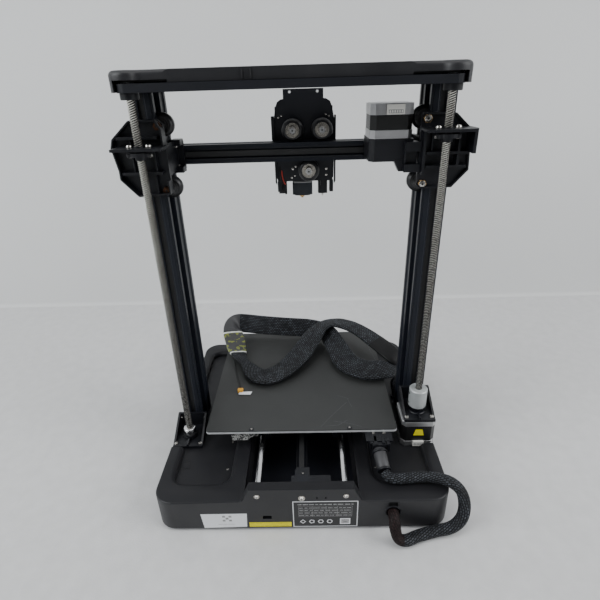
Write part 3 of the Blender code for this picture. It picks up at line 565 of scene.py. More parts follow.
# Each harness point carries the direction of the flat sleeve's width and how wide it is there.
HARNESS = (
    ((-140, -22, 42.6), (-1, 0, 0), 15), ((-140, -23, 56), (-1, -0.1, 0), 20),
    ((-139, -25, 70), (-0.8, -0.6, 0), 26), ((-134, -27, 80), (-0.25, -0.97, 0), 30),
    ((-122, -27, 83.5), (0, -0.98, 0.15), 35), ((-100, -25, 83.5), (0, -0.97, 0.22), 36),
    ((-84, -30, 84), (-0.3, -0.93, 0.22), 36), ((-70, -41, 85), (-0.6, -0.76, 0.25), 35),
    ((-62, -56, 86.5), (-0.86, -0.43, 0.28), 34), ((-58, -70, 88), (-0.94, -0.22, 0.26), 33),
    ((-50.6, -95, 90), (-0.9, -0.4, 0.25), 31), ((-42, -118, 91.5), (-0.5, -0.38, 0.78), 29),
    ((-28, -129, 92), (-0.28, -0.42, 0.86), 29), ((-8, -136, 92), (-0.08, -0.42, 0.9), 30),
    ((24, -140.5, 92.5), (0, -0.4, 0.92), 30), ((65, -146, 93.5), (0, -0.4, 0.92), 31),
    ((92, -149, 95.5), (0, -0.4, 0.92), 31), ((107, -147.5, 97.5), (0.2, -0.42, 0.88), 30),
    ((113.5, -138, 98), (0.75, -0.1, 0.66), 28), ((112.5, -123, 95), (0.97, 0.1, 0.2), 30),
    ((104.7, -98, 90), (0.96, 0.27, 0), 30), ((98.9, -78, 85.5), (0.9, 0.35, 0.25), 27),
    ((90.6, -62.6, 81.5), (0.7, 0.5, 0.5), 19), ((79.7, -47.7, 80), (0.6, 0.7, 0.35), 22),
    ((70, -32, 79.8), (0.45, 0.88, 0.1), 30), ((58, -21.5, 79.8), (0.1, 0.99, 0), 35),
    ((43, -20.8, 80), (-0.1, 0.99, 0), 36), ((21.3, -38.6, 82), (-0.65, 0.75, 0.05), 36),
    ((1, -67, 87), (-0.83, 0.53, 0), 35), ((-15.4, -97.6, 94), (-0.85, 0.48, -0.1), 31),
    ((-28.3, -117.6, 101), (-0.45, 0.85, 0), 29), ((-44, -126.8, 105), (-0.12, 0.98, 0.12), 28),
    ((-63.4, -123.4, 106.5), (0.3, 0.9, 0), 27), ((-86.8, -108.2, 105), (0.64, 0.76, -0.1), 25),
    ((-110.6, -81.6, 100), (0.7, 0.68, -0.2), 27), ((-130, -54.8, 95), (0.76, 0.55, -0.3), 26),
    ((-139.7, -43.8, 88), (0.87, 0.45, -0.3), 22), ((-143.5, -45, 77), (0.95, 0.3, 0), 19),
    ((-144.5, -48.5, 66), (0.7, 0.7, 0), 17), ((-144.5, -50, 58), (0.45, 0.88, 0), 15),
    ((-144.5, -50, 51.7), (0.4, 0.9, 0), 14),
)
TAG_LEAD = (
    (103.4, -66, 77), (100.5, -52, 76.5), (95.5, -34, 76.3), (89.5, -14, 76.3),
    (86, -3, 76.4), (84, 4.4, 76.6),
)


def curve_through(values, steps):
    """A smooth curve through vectors of any size, evenly stepped between them."""
    values = [Vector(v) for v in values]
    ends = [2 * values[0] - values[1], *values, 2 * values[-1] - values[-2]]
    made = []
    for i in range(1, len(ends) - 2):
        p0, p1, p2, p3 = ends[i - 1:i + 3]
        for step in range(steps):
            t = step / steps
            made.append(0.5 * (2 * p1 + (p2 - p0) * t + (2 * p0 - 5 * p1 + 4 * p2 - p3) * t * t
                               + (3 * p1 - p0 - 3 * p2 + p3) * t ** 3))
    made.append(values[-1])
    return made


def sleeve(name, route, wides, widths, thicks, look_at, steps, sides=20, power=2.6, ripple=0,
           seed=1):
    """A flattened tube along a route, with a surface map in millimetres along and across it.

    look_at names the finish from how many of the route's own points have been passed.
    """
    rng = random.Random(seed)
    bm = bmesh.new()
    layer = bm.loops.layers.uv.new("route")
    looks = []
    rings = []
    travelled = [0]
    for a, b in zip(route, route[1:]):
        travelled.append(travelled[-1] + (b - a).length)
    phase = [rng.uniform(0, 6.28) for _ in range(6)]
    outlines = []
    for i, point in enumerate(route):
        before, after = route[max(i - 1, 0)], route[min(i + 1, len(route) - 1)]
        along = (after - before).normalized()
        wide = wides[i] - along * wides[i].dot(along)
        wide.normalize()
        thin = along.cross(wide)
        ring, around = [], [0]
        for k in range(sides):
            angle = 2 * math.pi * k / sides
            c, s = math.cos(angle), math.sin(angle)
            x = math.copysign(abs(c) ** (2 / power), c) * widths[i] / 2
            y = math.copysign(abs(s) ** (2 / power), s) * thicks[i] / 2
            swell = ripple * (math.sin(travelled[i] / 9 + phase[0] + x * 0.35)
                              + 0.6 * math.sin(travelled[i] / 4.1 + phase[1] - x * 0.5)
                              + 0.5 * math.sin(x * 1.1 + travelled[i] / 30 + phase[2]))
            y += math.copysign(swell, y)
            ring.append(point + wide * x + thin * y)
        for k in range(sides):
            around.append(around[-1] + (ring[(k + 1) % sides] - ring[k]).length)
        outlines.append(around)
        rings.append([bm.verts.new(p) for p in ring])
    for i in range(len(rings) - 1):
        look = look_at(i / steps)
        if look not in looks:
            looks.append(look)
        for k in range(sides):
            m = (k + 1) % sides
            face = bm.faces.new((rings[i][k], rings[i][m], rings[i + 1][m], rings[i + 1][k]))
            face.material_index = looks.index(look)
            for loop, (row, col) in zip(face.loops,
                                        ((i, k), (i, k + 1), (i + 1, k + 1), (i + 1, k))):
                loop[layer].uv = (travelled[row], outlines[row][col])
    bm.faces.new(list(reversed(rings[0])))
    bm.faces.new(rings[-1])
    bmesh.ops.recalc_face_normals(bm, faces=bm.faces)
    mesh = bpy.data.meshes.new(name)
    bm.to_mesh(mesh)
    bm.free()
    return finish_mesh(name, mesh, looks, None, None, smooth=70)


def build_cords():
    steps = 8
    route = curve_through(BED_CABLE, steps)
    last = len(route) - 1
    wides, widths = [], []
    for i in range(last + 1):
        along = route[min(i + 1, last)] - route[max(i - 1, 0)]
        upright = abs(along.normalized().z) >= 0.9
        wides.append(along.cross(Vector((0, 1, 0) if upright else (0, 0, 1))).normalized())
        widths.append(13.6 - 1.8 * abs(2 * i / last - 1))
    for _ in range(10):
        wides = [(wides[max(i - 1, 0)] + 2 * w + wides[min(i + 1, last)]).normalized()
                 for i, w in enumerate(wides)]
    cable = sleeve("bed_cable_braid", route, wides, widths, [9.6] * len(route),
                   lambda at: "braid_red" if at > 13.4 else "braid_round", steps,
                   sides=24, power=2.3, ripple=0.2)
    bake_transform(cable)
    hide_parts("bed_cable")

    route = curve_through([h[0] for h in HARNESS], steps)
    wides = curve_through([h[1] for h in HARNESS], steps)
    widths = [v.x for v in curve_through([(h[2], 0, 0) for h in HARNESS], steps)]
    thicks = [4.4 + 0.24 * max(0, 30 - w) for w in widths]

    def harness_look(at):
        if 16.7 < at < 18.9:
            return "grey_sleeve"
        return "sleeve_black" if at > 34.1 else "braid_flat"

    harness = sleeve("harness_braid", route, wides, widths, thicks, harness_look, steps,
                     sides=36, power=3.6, ripple=0.22, seed=5)
    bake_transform(harness)
    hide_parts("harness")
    first, last = 19 * steps + 1, 21 * steps + 2
    part = slice(first, last + 1)
    border = 1 / steps

    def tape_look(at):
        return "film" if border <= at < (last - first - 1) * border else "tape_white"

    tape = sleeve("harness_tape", route[part], wides[part], [w + 0.9 for w in widths[part]],
                  [t + 1 for t in thicks[part]], tape_look, steps,
                  sides=32, power=3.6, ripple=0.2, seed=5)
    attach(tape, "bed")

    route = curve_through(TAG_LEAD, 6)
    count = len(route)
    lead = sleeve("tag_lead_wire", route, [Vector((1, 0.3, 0))] * count, [1.7] * count,
                  [1.6] * count, lambda at: "rubber", 6, sides=8, power=2)
    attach(lead, "bed")
    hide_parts("tag_lead")
    tag = Shape("paper")
    tag.prism(rounded((80.5, 88), (5, 11), 1.2, 3), "z", 75.4, 79.2, "orange")
    tag.box((82, 83.4), (4.4, 5.4), (76.2, 78.4))
    tag.box((85, 86.4), (4.4, 5.4), (76.2, 78.4))
    tag.prism([(68, 9.6), (84, 9.9), (86, 11), (86, 15), (70, 16)], "z", 75.5, 76.3)
    connector = tag.finish("tag_connector_block", "bed", "connector", ["tag_connector"], bevel=0.2)


# ---- Base ----

def both_at(a, b, z):
    """Whether an edge lies level at a height."""
    return abs(a.z - z) < 0.05 and abs(b.z - z) < 0.05


def build_base():
    shell = prism_tool(rounded((-SIDE_X, SIDE_X), (-REAR_Y, REAR_Y), 22, 10), "z", 4.3, DECK_Z)
    inner = 152.8
    for side, top in ((1, 64), (-1, 60)):
        outline = ((-68, 6), (68, 6), (68, DECK_Z), (64.5, 48),
                   (57.6, top), (-57.6, top), (-64.5, 48), (-68, DECK_Z))
        combine(shell, "UNION", prism_tool(outline, "y", *sorted((side * REAR_Y, side * inner))))
    cut(shell, box_tool((-64.3, 64.3), (-inner, inner), (0, 80)))
    for side in (-1, 1):
        def span(low, high):
            return (low, high) if side > 0 else (-high, -low)
        cut(shell, prism_tool(rounded(span(66.8, 163.8), (-161.5, 161.5), 18, 5), "z", 0, 36),
            prism_tool(rounded(span(84, 150), (-137, 137), 14, 8), "z", 38.5, 60))

    def basin_step(a, b):
        middle = (a + b) / 2
        return both_at(a, b, DECK_Z) and 83 < abs(middle.x) < 151 and abs(middle.y) < 138

    round_edges(shell, basin_step, 5.5, 6)
    cut(shell,
        *(box_tool(pocket, (-12, 80), (38.5, 60)) for pocket in ((-175, -125.3), (125.3, 175))),
        box_tool((160, 170), (-100.3, -79.7), (15.3, 28.3)),
        prism_tool(circle((-101, 28.3), 7.6, 24), "y", 155, 170),
        box_tool((-106, -96), (160, 170), (28.3, 43)),
        box_tool((34, 44), (158, 170), (18.6, 23.6)),
        *(prism_tool(circle((x, 51.2), 1.2, 12), "y", 150, 170) for x in (-17, -26.6)))

    def rim(a, b):
        """Top edges on the outside of the side blocks."""
        middle = (a + b) / 2
        outside = abs(abs(middle.y) - REAR_Y) < 0.1 or abs(abs(middle.x) - SIDE_X) < 0.1
        corner = abs(middle.x) > 144 and abs(middle.y) > 141
        return both_at(a, b, DECK_Z) and (outside or corner)

    round_edges(shell, rim, 3.2, 5)
    # The upward faces take the darker copy of the plastic: painted shade on the block tops.
    take(shell, "base_shell", "cover", "base", "black_plastic",
         ["side_cover_left", "side_cover_right", "rear_panel", "front_panel"], top="cover_top_shade",
         bevel=0.8, segments=3)

    hardware = Shape()
    for x, z, size in ((ROD_X, 54.5, 2.1), (-48.7, 54, 2.1), (-0.3, 51.3, 2.8)):
        washer = ((size + 1, REAR_Y), (size + 1, REAR_Y + 0.35), (size - 0.2, REAR_Y + 0.5),
                  (size - 0.2, REAR_Y))
        hardware.turned("y", (x, z), washer, "shield", 28)
        hardware.screw((x, REAR_Y + 0.3, z), "y", 1, size)
    for x in (ROD_X, -ROD_X):
        hardware.screw((x, -REAR_Y, 52), "y", -1, 2.9)
    for x, y in ((88, 118), (88, 74), (-88, 118)):
        hardware.screw((x, y, DECK_Z + 0.02), "z", 1, 1.5)
    hardware.finish("base_screws", "base", "steel")

    # Near-black fillers in the holes and thin near-black lines for the basin grooves are painted
    # shade; the bush and the grommet boss are plain plastic.
    trim = Shape("groove")
    bush = ((7.5, 163.6), (8.9, 163.8), (9.1, 164.4), (8.6, 164.9), (7.6, 164.9))
    trim.turned("y", (-101, 28.3), bush, "matte", 40)
    trim.box((-105.9, -96.1), (160.6, 161.4), (30, 42.9))
    trim.box((34.1, 43.9), (158.2, 159), (18.7, 23.5))
    for low, high, y_low, y_high in ((137.5, 149, 97.5, 98.1), (137.5, 149, 108.4, 109),
                                     (137.5, 138.1, 97.5, 109), (148.4, 149, 97.5, 109)):
        trim.box((low, high), (y_low, y_high), (38.45, 38.75))
    trim.prism(rounded((-150, -130), (-29, -15), 4), "z", 38.4, 42.4, "matte")
    trim.finish("base_trim", "base", "matte_plastic", bevel=0.15)

    rest = Shape()
    rest.box((-33, 11), (142.6, 153.2), (61.6, 62))
    plan = arc((-2, 146), 7.6, 0, 180, 12) + [(-9.6, 131), (5.6, 131)]
    rest.prism(plan, "z", 61.6, 61.95)
    rest.prism(arc((-2, 146), 6.2, 0, 180, 12) + [(-8.2, 143.2), (4.2, 143.2)], "z", 61.9, 62.1,
               "steel_black")
    rest.finish("belt_tensioner", "base", "painted_steel", bevel=0.5)
    Shape().screw((-2, 139.6, 60.85), "z", 1, 1.8).finish("tensioner_screw", "base", "steel")
    strip = Shape()
    strip.box((-6.6, 6.6), (-120, 131.5), (33, 34.2))
    for x in (-6.6, 6):
        strip.box((x, x + 0.6), (-120, 131.5), (34.2, 36), "cover")
    strip.finish("belt_channel", "base", "painted_steel")


def label_bars(label, x, rows, seed, look):
    """Rows of plain bars that stand for printing and say nothing."""
    rng = random.Random(seed)
    for z, depth in rows:
        at = x[1]
        while at > x[0] + 2:
            long = rng.uniform(3, 8)
            end = max(x[0], at - long)
            label.box((end, at), depth, z, look)
            at = end - rng.uniform(0.8, 1.8)


def build_labels():
    wall = REAR_Y + 0.03

    def layer(low, high):
        """How far a flat piece stands off the rear wall."""
        return (wall + low, wall + high)

    label = Shape("print_grey")
    label.prism(((62.6, 6.2), (111.2, 5), (113.4, 27.6), (61.4, 27.8)), "y", *layer(0, 0.12),
                "paper")
    for x in range(3):
        for z in range(3):
            if (x + z) % 2 == 0:
                label.box((79 + 3.6 * x, 82.2 + 3.6 * x), layer(0.1, 0.16),
                          (15.5 + 3.2 * z, 18.4 + 3.2 * z))
    label.box((76, 95), layer(0.1, 0.14), (10.6, 11.1))
    label.finish("label_white", "base", "black_plastic")

    label = Shape("yellow")
    label.box((12, 59.6), layer(0, 0.12), (6, 13.2))
    label_bars(label, (14, 58), [(z, layer(0.1, 0.13)) for z in ((6.9, 7.4), (11.8, 12.3))], 4,
               "tape_mark")
    label.finish("label_yellow", "base", "black_plastic")

    label = Shape("print_grey")
    label.box((-62.2, 10), layer(0, 0.1), (5.2, 46.2), "paper")
    label.box((-61.2, 9), layer(0.08, 0.16), (6.2, 45.2), "label_black")
    ink, over = layer(0.14, 0.17), layer(0.14, 0.19)
    label_bars(label, (-57, 4.5), [((40.6, 42), ink)], 7, "print_grey")
    label_bars(label, (-55, 3), [((z, z + 0.9), ink) for z in (35.4, 31.4, 27.4, 23.4)], 8,
               "print_grey")
    for z in (38.4, 33.8, 29.8, 25.8, 21.8):
        label.box((-55.6, 3.6), ink, (z, z + 0.25))
    for x in (3.4, -12, -27, -39.5, -55.8):
        label.box((x, x + 0.25), ink, (21.8, 38.6))
    for index, x in enumerate((-1, -11, -21, -31)):
        label.prism(circle((x, 13.8), 3.4, 4 + index), "y", *ink, "paper")
        label.prism(circle((x, 13.8), 2.2, 4 + index), "y", *over, "label_black")
    label.box((-54, -42.5), ink, (9, 18.6), "paper")
    label.box((-52.6, -43.9), over, (10.4, 17.2))
    label.finish("label_black_plate", "base", "black_plastic")


# ---- Y axis and bed ----

def build_bed():
    for label, x in (("left", ROD_X), ("right", -ROD_X)):
        rod = Shape()
        ends = ((0.1, -152.2), (3.5, -152.2), (4, -151.7), (4, 151.7), (3.5, 152.2), (0.1, 152.2))
        rod.turned("y", (x, 54), ends, "chrome", 56)
        rod.finish(f"smooth_rod_{label}", "base", "chrome", [f"y_rod_{label}"])

    pad = Shape("foam")
    rng = random.Random(3)
    rim = []
    corners = ((-112, -143.05), (112, -143.05), (112, 81.6), (-69, 81.6), (-69, 75), (-112, 75))
    for (ax, ay), (bx, by) in zip(corners, corners[1:] + corners[:1]):
        count = max(2, int(math.dist((ax, ay), (bx, by)) / 4))
        for i in range(count):
            t = i / count
            rim.append((ax + (bx - ax) * t + rng.uniform(-0.5, 0.5),
                        ay + (by - ay) * t + rng.uniform(-0.5, 0.5)))
    pad.rings([[(x * size, y * size, z) for x, y in rim]
               for size, z in ((0.997, 68.7), (1, 69.4), (1, 70.4), (0.997, 70.95))])
    foam = pad.finish("foam_pad", "bed", "foam", ["bed_foam"])

    hang = Shape("foam")
    rng = random.Random(9)
    edge = [(53.5 + 2.2 * i, rng.uniform(-0.7, 0.7)) for i in range(16)]
    cuts = []
    for x, d in edge:
        low = 58.8 + 6.2 * max(0, min(1, (67 - x) / 6))
        cuts.append([(x, 80.5, 68.4), (x, 84.2 + d, 67.6), (x, 83.8 + d, low + 0.6 * d),
                     (x, 79.8, low + 1)])
    hang.rings(cuts)
    flap = hang.finish("foam_flap", "bed", "foam")

    details = Shape()
    collar = ((0.4, SHEET_Z), (3.2, SHEET_Z), (3.2, SHEET_Z + 0.35), (2.4, SHEET_Z + 0.7),
              (0.4, SHEET_Z + 0.7))
    for x in (61.3, -59.5):
        details.turned("z", (x, 82.6), collar, "matte", 20)
        details.screw((x, 82.6, SHEET_Z + 0.6), "z", 1, 1.3)
    for x, y in ((-88, 88), (-101, 88)):
        details.screw((x, y, 71), "z", 1, 1.8)
    details.finish("bed_screws", "bed", "steel")

    marks = Shape("scratch")
    lines = (((-24, 80.4), (-41.4, 57), (-60.1, 34)), ((-58.3, 68.6), (-46.4, 77.4), (-30, 79)),
             ((-40, 70), (-58, 74), (-74.9, 80.8)), ((-48, 20), (-62, 26), (-66, 44)),
             ((-106.2, -105.8), (-109, -84), (-112.8, -62.8)), ((-111.9, -111.8), (-115.6, -80.8)))
    for line in lines:
        for (ax, ay), (bx, by) in zip(line, line[1:]):
            along = Vector((bx - ax, by - ay)).normalized() * 0.14
            marks.prism(((ax - along.y, ay + along.x), (ax + along.y, ay - along.x),
                         (bx + along.y, by - along.x), (bx - along.y, by + along.x)), "z",
                        SHEET_Z + 0.1, SHEET_Z + 0.13)
    marks.finish("sheet_marks", "bed", "sheet")

    boot = Shape("grey_sleeve")
    start, end = Vector((-92.9, 106, 60.7)), Vector((-95.6, 129.4, 53.6))
    along = (end - start).normalized()
    across = along.orthogonal().normalized()
    other = along.cross(across)

    def ring(t, radius):
        """A ring of points round the boot, at a share of its length."""
        return hoop(start.lerp(end, t), across, other, radius, 24)

    profile = ((0, 7.9), (0.03, 8.4), (0.1, 8.4), (0.13, 7.5), (0.17, 7.7), (0.9, 7.3), (0.94, 6.9),
               (1, 6.2), (1, 5.8))
    boot.rings([ring(t, radius) for t, radius in profile])
    boot.finish("cable_boot", "bed", "matte_plastic")
    clip = Shape()
    clip.box((-104, -84), (96, 99), (54.5, 68.5))
    clip.box((-106, -101.5), (90, 106), (58, 70.6))
    clip.box((-86, -82), (90, 104), (60, 70.6))
    for t, radius in ((0.06, 9.4), (0.93, 8)):
        clip.rings([ring(t + way, radius - less)
                    for way, less in ((-0.02, 1.8), (0.001, 0), (0.099, 0), (0.12, 1.8))])
    clip.box((-100, -96.5), (92, 105), (66, 72))
    clip.box((-91, -87), (92, 106.5), (64, 71))
    clip.finish("cable_clip", "bed", "matte_plastic", bevel=0.6)


# ---- Frame and Z axis ----

def build_uprights():
    half = ((3.1, -4.2), (3.1, -7.55), (14.2, -7.55), (14.2, -2.2), (12.6, -0.6), (12.6, 7.4),
            (14.2, 9), (14.2, 14.25), (4, 14.25), (4, 26.65), (12.6, 26.65), (12.6, 32.45),
            (10.9, 32.45), (10.9, 31.8), (10.2, 31.8), (10.2, 32.45), (5.1, 32.45), (4.4, 31.7),
            (3.1, 31.7), (3.1, 29))
    for label, x in (("left", UPRIGHT_X), ("right", -UPRIGHT_X)):
        outline = [(x + a, y) for a, y in half] + [(x - a, y) for a, y in reversed(half)]
        post = Shape("anodised").prism(outline, "z", 38.8, 452)
        post.finish(f"upright_profile_{label}", "base", "anodised", [f"upright_{label}"], bevel=0.3)
        # A near-black strip on the slot floor: painted shade in the slot.
        inset = Shape("groove").box((x - 3, x + 3), (29.05, 29.4), (39, 451.9))
        inset.finish(f"upright_slot_shade_{label}", "base", "anodised")


def build_top():
    lobe_r, lobe, neck = 15.5, (146, 57), 66.5
    meet = 180 - math.degrees(math.asin((neck - lobe[1]) / lobe_r))
    neck_x = lobe[0] - math.sqrt(lobe_r ** 2 - (neck - lobe[1]) ** 2)
    right_half = [*arc((151.5, -2), 10, -90, 0, 6), *arc(lobe, lobe_r, 0, meet - 8, 16),
                  (neck_x - 1.5, 67), (neck_x - 4.5, neck)]
    outline = right_half + [(-x, y) for x, y in reversed(right_half)]
    cover = prism_tool(outline, "z", 452.7, COVER_Z)
    recess = ((-112, 66.6), (-104, 65), (104, 65), (112, 66.6), (112, 70), (-112, 70))
    cut(cover, prism_tool(recess, "z", 440, 480))

    def ends(a, b):
        return both_at(a, b, COVER_Z) and min(abs(a.x), abs(b.x)) > 111

    def middle(a, b):
        return both_at(a, b, COVER_Z) and abs(a.y - b.y) < 0.5 and a.x * b.x < 0

    round_edges(cover, ends, 4.6, 5, clamp=False)
    round_edges(cover, middle, 1.6, 3)
    wide = (-155.5, 155.5)
    cut(cover, box_tool(wide, (-9, 64), (440, 468)), box_tool(wide, (60, 80), (440, 460)),
        *(box_tool(span, (60, 80), (440, 462.3)) for span in ((-155.5, -108), (108, 155.5))),
        *(prism_tool(circle((x, lobe[1]), 12.6, 24), "z", 440, 467.7) for x in (-146, 146)))
    take(cover, "top_cover_shell", "cover", "base", "black_plastic", ["top_cover"], bevel=0.5)

    extras = Shape("cover")
    for x in (34, 41.7):
        extras.box((x - 0.6, x + 0.6), (64.6, 66.4), (461.4, 468.5))
    bearing = ((4.5, 446.4), (8.2, 446.4), (8.6, 447), (8.6, 452.2), (4.5, 452.2))
    for x in (-UPRIGHT_X, UPRIGHT_X):
        extras.turned("z", (x, SCREW_Y), bearing, "matte", 36)
    extras.finish("top_trim", "base", "painted_steel", bevel=0.2)


def thread(shape, centre, low, high, radius=4):
    """A right-hand trapezoidal thread with a 2 mm pitch and four starts."""
    lead, pitch, sides = 8, 2, 20
    heights = (0, 0.72, 0.95, 0.24)
    rows = len(heights)
    step = pitch / rows
    count = int((high - low) / step) + 1
    grid = []
    for i in range(count):
        r = radius - max(heights) + heights[i % rows]
        level = low + i * step
        grid.append([shape.bm.verts.new((x, y, min(level + (lead * k / sides) % pitch, high)))
                     for k, (x, y) in enumerate(circle(centre, r, sides))])
    for i in range(count - 1):
        # Crest and rising flank take the brightened steel, the rest near black: painted highlight
        # and painted shade on one steel.
        look = "thread" if i % rows in (0, 1) else "thread_root"
        for k in range(sides):
            m = (k + 1) % sides
            wraps = (lead * (k + 1) / sides) % pitch < (lead * k / sides) % pitch - 1e-6
            j = i + rows if wraps else i
            if j + 1 < count:
                shape.face((grid[i][k], grid[j][m], grid[j + 1][m], grid[i + 1][k]), look)


def pulley(shape, centre):
    """A toothed pulley with its two flanges."""
    shape.prism(toothed(centre, (5.1, 5.6), 40), "z", 460.9, 466, "turned")
    shape.disc("z", centre, 6, 460.2, 461, "turned")
    shape.disc("z", centre, 6, 465.8, 466.6, "turned")


def build_z_axis():
    left, right = (UPRIGHT_X, SCREW_Y), (-UPRIGHT_X, SCREW_Y)
    for label, centre, low in (("left", left, 41), ("right", right, 100.3)):
        rod = Shape()
        thread(rod, centre, low, 462)
        if centre == left:
            collar = ((3.4, 46.3), (6.7, 46.3), (7.5, 47), (7.5, 56.2), (6.7, 57), (3.4, 57))
            rod.turned("z", left, collar, "chrome", 40)
            # A near-black hexagon for the collar's socket: painted shade.
            rod.prism(circle(left, 1.4, 6), "z", 56.9, 57.1, "groove")
        pulley(rod, centre)
        rod.finish(f"screw_thread_{label}", f"leadscrew_{label}", "steel", [f"leadscrew_{label}"],
                   smooth=50)

    joint = Shape("groove")
    profile = ((4.2, 113.5), (9.9, 113.5), (11, 112.4), (11, 89.1), (9.9, 88),
               (2.6, 88), (2.6, 77.5), (1.5, 77.5), (1.5, 101), (4.2, 101))
    joint.turned("z", right, profile, "turned", 48)
    # Near-black discs for the two set-screw holes: painted shade.
    for z in (93, 107):
        base = right[0] + 10.6
        joint.prism(circle((right[1] + 1, z), 1.6, 12), "x", base, base + 0.5)
    joint.turned("z", right, ((2.6, 83.2), (8.4, 83.2), (9.2, 84.2), (9.2, 87.6), (2.6, 87.6)),
                 "matte", 36)
    joint.finish("coupler_body", "leadscrew_right", "aluminium", ["coupler"], smooth=40)


def motor(name, body, node, centre, levels, shaft):
    """A square stepper: two cast bells, a dark laminated middle and a shaft."""
    low, bell, mid, high = levels
    half = 21.15
    x = (centre[0] - half, centre[0] + half)
    y = (centre[1] - half, centre[1] + half)
    made = Shape("silver")
    made.prism(chamfered(x, y, 4.6), "z", low, bell)
    made.prism(chamfered((x[0] + 0.3, x[1] - 0.3), (y[0] + 0.3, y[1] - 0.3), 5.4), "z", bell, mid,
               "laminate")
    made.prism(chamfered(x, y, 4.6), "z", mid, high)
    for bottom, top, radius, look in shaft:
        made.disc("z", centre, radius, bottom, top, look, 24, 0.2)
    made.finish(name, body, "motor", [node], bevel=0.5, segments=3)


def build_motors():
    motor("z_motor_body", "base", "z_motor", (-UPRIGHT_X, SCREW_Y), (38.8, 46.6, 69.8, 77), ())
    plug = Shape("white_plastic")
    plug.box((-153.6, -140), (76.6, 79.4), (40.2, 47.6))
    for i in range(6):
        plug.box((-152.2 + 1.9 * i, -151.2 + 1.9 * i), (79.3, 79.6), (42.4, 45.2), "print_grey")
    plug.finish("z_motor_plug", "base", "connector", bevel=0.3)
    sticker = Shape("yellow")
    sticker.prism(((-153.4, 56), (-140.2, 56), (-142.6, 65.4), (-151, 65.4)), "y", 77, 77.12)
    sticker.finish("z_motor_sticker", "base", "connector")

    shaft = ((386, 404.5, 2.5, "screw"), (385.4, 391.4, 5.9, "turned"))
    motor("x_motor_body", "x_gantry", "x_motor", (-97.8, 14.45), (404.3, 412.2, 426.2, 436.4),
          shaft)
    plug = Shape("white_plastic")
    plug.box((-109, -92), (35.2, 38), (426.6, 435.6))
    plug.box((-107.6, -93.4), (37.9, 38.1), (427.6, 431), "print_grey")
    for i in range(6):
        plug.box((-107 + 2.3 * i, -105.8 + 2.3 * i), (37.9, 38.3), (428.2, 430.4))
    plug.finish("x_motor_plug", "x_gantry", "connector", bevel=0.3)

    hub = Shape()
    ring = ((2.7, 77.1), (11.2, 77.1), (11.2, 81.2), (10.4, 82), (2.7, 82))
    hub.turned("z", (-UPRIGHT_X, SCREW_Y), ring, "steel_black", 40)
    hub.finish("z_motor_boss", "base", "motor")
    fixings = Shape()
    for dx in (-15.5, 15.5):
        fixings.screw((dx - UPRIGHT_X, 71.5, 81), "z", 1, 2.7)
        fixings.screw((dx - UPRIGHT_X, 40.5, 81), "z", 1, 2.7)
        fixings.screw((1.05 * dx - UPRIGHT_X, 35.5, 86), "y", 1, 2.3)
        fixings.screw((UPRIGHT_X + dx, 71, 42.6), "z", 1, 2.5)
        fixings.screw((UPRIGHT_X + 1.05 * dx, 35.5, 54), "y", 1, 2.3)
    fixings.finish("foot_screws", "base", "steel")


# ---- X gantry ----

def rim_band(shape, path, y, thick):
    """A thin wall that stands on a plate and follows a path in X and Z."""
    rings = []
    for i, (a, b) in enumerate(path):
        before, after = path[max(i - 1, 0)], path[min(i + 1, len(path) - 1)]
        along = Vector((after[0] - before[0], after[1] - before[1])).normalized() * thick
        c, d = a + along.y, b - along.x
        rings.append([(a, y[0], b), (a, y[1], b), (c, y[1], d), (c, y[0], d)])
    shape.rings(rings)


